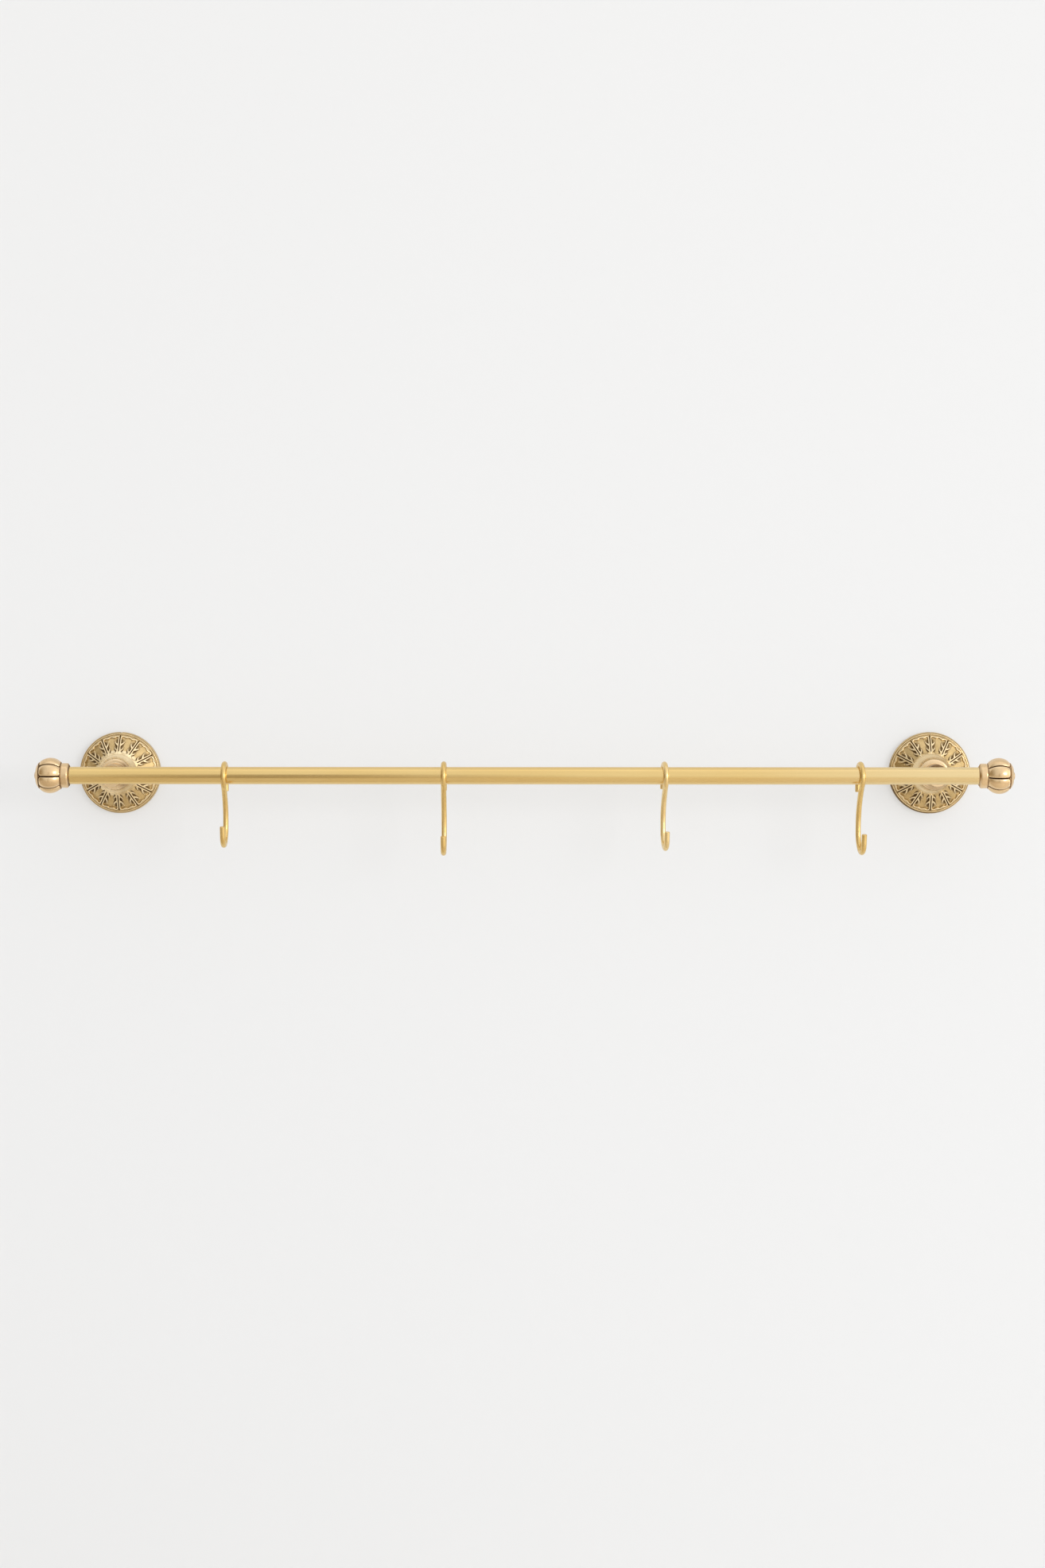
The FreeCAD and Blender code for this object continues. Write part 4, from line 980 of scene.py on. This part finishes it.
def hookPath(hook):
    # middle of the wire in the hook's plane: first number to the wall, second up
    w = wire
    eyeZ = railRadius / mm + w["restGap"] + w["radius"] - w["eye"]
    bowlY, bowlZ = w["bowl"] - w["bowlReach"], w["bowl"] - (hook["drop"] - w["radius"])
    bendTurn = math.acos((bowlY - w["back"] + w["bend"]) / (w["bend"] - w["bowl"]))
    bendZ = bowlZ + (w["bend"] - w["bowl"]) * math.sin(bendTurn)
    stemZ = bendZ + w["flat"]
    fall = eyeZ - stemZ
    stem = (w["back"] ** 2 + fall ** 2 - w["eye"] ** 2) / (2 * (w["eye"] + w["back"]))
    eyeTurn = math.asin(fall / (w["eye"] + stem))
    lean = math.radians(w["lean"])
    foot = np.array([bowlY - math.cos(lean) * w["bowl"], bowlZ - math.sin(lean) * w["bowl"]])
    tipRun = (hook["tipRise"] - hook["drop"] - foot[1]) / math.cos(lean)
    tip = foot + np.array([-math.sin(lean), math.cos(lean)]) * tipRun
    points = linePoints((w["eye"], -hook["tail"]), (w["eye"], eyeZ))
    points += arcPoints((0, eyeZ), w["eye"], 0, math.pi + eyeTurn)
    points += arcPoints((w["back"] - stem, stemZ), stem, eyeTurn, 0)
    points += linePoints((w["back"], stemZ), (w["back"], bendZ))
    points += arcPoints((w["back"] - w["bend"], bendZ), w["bend"], 0, -bendTurn)
    points += arcPoints((bowlY, bowlZ), w["bowl"], -bendTurn, lean - math.pi)
    points += linePoints(foot, tip) + [tip]
    return np.array(points)


def makeHook(name, hook):
    path = hookPath(hook)
    tangent = np.gradient(path, axis=0)
    tangent /= np.linalg.norm(tangent, axis=1)[:, None]
    normal = np.stack([-tangent[:, 1], tangent[:, 0]], axis=1)
    share = np.linspace(0, 1, len(path))
    uneven = wire["uneven"]
    thick = wire["radius"] * (1 - uneven + uneven * waver(hook["seed"], wire["unevenWaves"], share))
    sway = waver(hook["seed"] + 10, wire["swayWaves"], share)   # a draw of its own
    sway = wire["sway"] * sway * np.sin(math.pi * share)
    turn = np.linspace(0, fullTurn, wire["around"], endpoint=False)
    edge, last = wire["edgeBreak"], len(path) - 1
    narrow = 1 - edge / wire["radius"]
    # each ring is a point of the path, a push along it and a share of the radius
    rings = [(0, 0.0, wire["centre"]), (0, 0.0, narrow), (0, edge, 1.0)]
    rings += [(i, 0.0, 1.0) for i in range(1, last)]
    rings += [(last, -edge, 1.0), (last, 0.0, narrow), (last, 0.0, wire["centre"])]
    rows = []
    for index, push, scale in rings:
        twist = ramp(*wire["twistRun"], path[index][1])
        yaw = math.radians(mix(hook["eyeTurn"], hook["turn"], twist))
        radius = thick[index] * scale
        out = path[index] + tangent[index] * push
        aside = sway[index] + radius * np.cos(turn)
        inPlane = out[None, :] + (radius * np.sin(turn))[:, None] * normal[index][None, :]
        x = aside * math.cos(yaw) - inPlane[:, 0] * math.sin(yaw)
        y = aside * math.sin(yaw) + inPlane[:, 0] * math.cos(yaw)
        rows.append(np.stack([(hook["place"] + x) * mm, railY + y * mm, inPlane[:, 1] * mm], axis=1))
    columns = len(turn)
    faces = [tuple(f) for f in gridFaces(len(rings), columns)]
    faces.append(tuple(range(columns)))
    faces.append(tuple(reversed(range((len(rings) - 1) * columns, len(rings) * columns))))
    makePiece(name.replace("_", "") + "Wire", np.array(rows), faces, hook["finish"], name,
              name, wire["sharpAngle"])


for name, hook in hooks.items():
    makeHook(name, hook)
print("hooks made")


# screws, plates and inner pieces keep their solids

innerPieces = {
    "wall_plate": steelFinish,
    "top_set_screw": steelFinish,
    "bottom_set_screw": steelFinish,
    "post_screw": steelFinish,
    "finial_stud": steelFinish,
    "rail_slug": innerFinish,
    "end_plug": innerFinish,
}
for side in ("left", "right"):
    for part, finish in innerPieces.items():
        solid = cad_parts[side + "_" + part].data
        solid.materials.clear()
        solid.materials.append(finish)
print("inner pieces dressed")


# wall and floor, in metres

stage = {
    "wallGap": 0.0006,
    "wallSize": 6.0,
    "wallColour": (0.848, 0.868, 0.896),
    "wallPale": (0.885, 0.885, 0.880),
    "paleShare": 0.45,
    "floorDrop": 0.75,
    "floorWide": 6.0,
    "floorDeep": 1.1,
    "floorColour": (0.66, 0.60, 0.52),
    "floorRight": (0.88, 0.825, 0.745),
    "floorSpan": (-0.7, 0.7),
    "roughness": 0.9,
}


def startPaint(name, colour):
    material, tree, shader = startMaterial(name)
    shader.inputs["Base Color"].default_value = (*colour, 1.0)
    shader.inputs["Roughness"].default_value = stage["roughness"]
    shader.inputs["Specular IOR Level"].default_value = 0.0
    return material, tree, shader


def wallPaint():
    # partly an even pale tone, and see-through from behind
    material, tree, shader = startPaint("wallPaint", stage["wallColour"])
    path = addNode(tree, "ShaderNodeLightPath")
    seen = path.outputs["Is Camera Ray"]
    for kind in ("Is Glossy Ray", "Is Transmission Ray"):
        seen = combine(tree, "MAXIMUM", seen, path.outputs[kind])
    pale = addNode(tree, "ShaderNodeEmission", Color=(*stage["wallPale"], 1.0), Strength=1.0)
    share = spreadRange(tree, seen, (0.0, 1.0), (0.0, stage["paleShare"]))
    face = mixShaders(tree, share, shader.outputs[0], pale.outputs[0])
    behind = addNode(tree, "ShaderNodeNewGeometry").outputs["Backfacing"]
    clear = addNode(tree, "ShaderNodeBsdfTransparent").outputs[0]
    feed(tree, mixShaders(tree, behind, face, clear), tree.nodes["Material Output"].inputs["Surface"])
    return material


def floorPaint():
    # painted light: lighter to the right, as the room is brighter there
    material, tree, shader = startPaint("floorPaint", stage["floorColour"])
    toRight = shareAlongX(tree, stage["floorSpan"])
    colour = blendColours(tree, toRight, stage["floorColour"], stage["floorRight"])
    feed(tree, colour, shader.inputs["Base Color"])
    return material


def makePlane(name, corners, material):
    mesh = bpy.data.meshes.new(name)
    mesh.from_pydata(corners, [], [(0, 1, 2, 3)])
    mesh.materials.append(material)
    plane = addToScene(name, mesh)


def makeStage():
    half, floor, gap = stage["wallSize"] / 2, -stage["floorDrop"], stage["wallGap"]
    wallCorners = [(-half, gap, floor), (half, gap, floor), (half, gap, half), (-half, gap, half)]
    makePlane("wall", wallCorners, wallPaint())
    wide, deep = stage["floorWide"] / 2, stage["floorDeep"]
    floorCorners = [(-wide, -deep, floor), (wide, -deep, floor), (wide, gap, floor), (-wide, gap, floor)]
    makePlane("floor", floorCorners, floorPaint())


makeStage()
print("wall and floor made")


# light: a room that is brighter to the right, and a window

light = {
    "leftSky": (0.80, 0.80, 0.80),
    "rightSky": (1.20, 1.20, 1.21),
    "skySpan": (-0.6, 0.6),       # spans are shares of a direction's X, Y or Z
    "farLeft": (0.40, 0.34, 0.24),
    "farLeftSpan": (-0.55, -0.88),
    "farRight": (1.50, 1.47, 1.42),
    "farRightSpan": (0.55, 0.88),
    "overhead": (1.20, 1.20, 1.22),
    "overheadSpan": (0.86, 1.0),
    "lowLeft": (0.60, 0.53, 0.42),
    "lowRight": (1.08, 1.00, 0.89),
    "lowSpan": (-0.05, -0.5),
    "dimRoom": (0.20, 0.15, 0.07),   # upright strip in front of the rail, a little to the left
    "dimEdges": (("X", (-0.040, -0.065)), ("X", (-0.140, -0.118)), ("Y", (-0.6, -0.8)),
                 ("Z", (0.38, 0.10)), ("Z", (-0.70, -0.35))),
    "windowPower": 30.0,
    "windowSize": 1.3,
    "windowPlace": (2.6, -2.9, 0.6),
}


def makeRoom():
    world = bpy.data.worlds.new("studio")
    scene.world = world
    world.use_nodes = True
    tree = world.node_tree
    place = addNode(tree, "ShaderNodeTexCoord")
    parts = addNode(tree, "ShaderNodeSeparateXYZ")
    tree.links.new(place.outputs["Generated"], parts.inputs[0])
    way = parts.outputs
    toRight = spreadRange(tree, way["X"], light["skySpan"])
    sky = blendColours(tree, toRight, light["leftSky"], light["rightSky"])
    low = blendColours(tree, toRight, light["lowLeft"], light["lowRight"])
    for axis, span, colour in (("X", "farLeftSpan", light["farLeft"]),
                               ("X", "farRightSpan", light["farRight"]),
                               ("Z", "overheadSpan", light["overhead"]),
                               ("Z", "lowSpan", low)):
        sky = blendColours(tree, spreadRange(tree, way[axis], light[span]), sky, colour)
    dim = 1.0
    for axis, span in light["dimEdges"]:
        dim = combine(tree, "MULTIPLY", dim, spreadRange(tree, way[axis], span))
    back = tree.nodes["Background"]
    feed(tree, blendColours(tree, dim, sky, light["dimRoom"]), back.inputs["Color"])
    back.inputs["Strength"].default_value = 1.0


def makeWindow():
    lamp = bpy.data.lights.new("windowLight", "AREA")
    lamp.energy, lamp.size = light["windowPower"], light["windowSize"]
    window = addToScene("windowLight", lamp)
    window.location = light["windowPlace"]
    window.rotation_euler = (-Vector(light["windowPlace"])).to_track_quat("-Z", "Y").to_euler()


makeRoom()
makeWindow()
print("room and window lit")


# camera

camera = {
    "imageWide": 1314,
    "imageTall": 1971,
    "distance": 2.5,               # metres, like the next two
    "right": 0.035,
    "above": 0.100,
    "metresPerPixel": 0.0005765,   # at the rail
    "railPixel": (658.5, 975.1),   # where the rail's middle lies in the picture
    "sensor": 36.0,
    "clip": (0.05, 50.0),
}


def makeCamera():
    data = bpy.data.cameras.new("camera")
    eye = addToScene("camera", data)
    toRail = camera["distance"] + railY
    focal = toRail / camera["metresPerPixel"]   # in pixels
    data.sensor_fit = "AUTO"
    data.sensor_width = camera["sensor"]
    data.lens = focal * camera["sensor"] / camera["imageTall"]
    data.clip_start, data.clip_end = camera["clip"]
    eye.location = (camera["right"], -camera["distance"], camera["above"])
    offRight = camera["railPixel"][0] - camera["imageWide"] / 2
    offDown = camera["railPixel"][1] - camera["imageTall"] / 2
    pan = math.atan2(camera["right"], toRail) + math.atan2(offRight, focal)
    tilt = math.atan2(camera["above"], toRail) - math.atan2(offDown, focal)
    eye.rotation_euler = (math.pi / 2 - tilt, 0, pan)
    scene.camera = eye


makeCamera()
scene.view_settings.view_transform = "Standard"
print("camera placed")
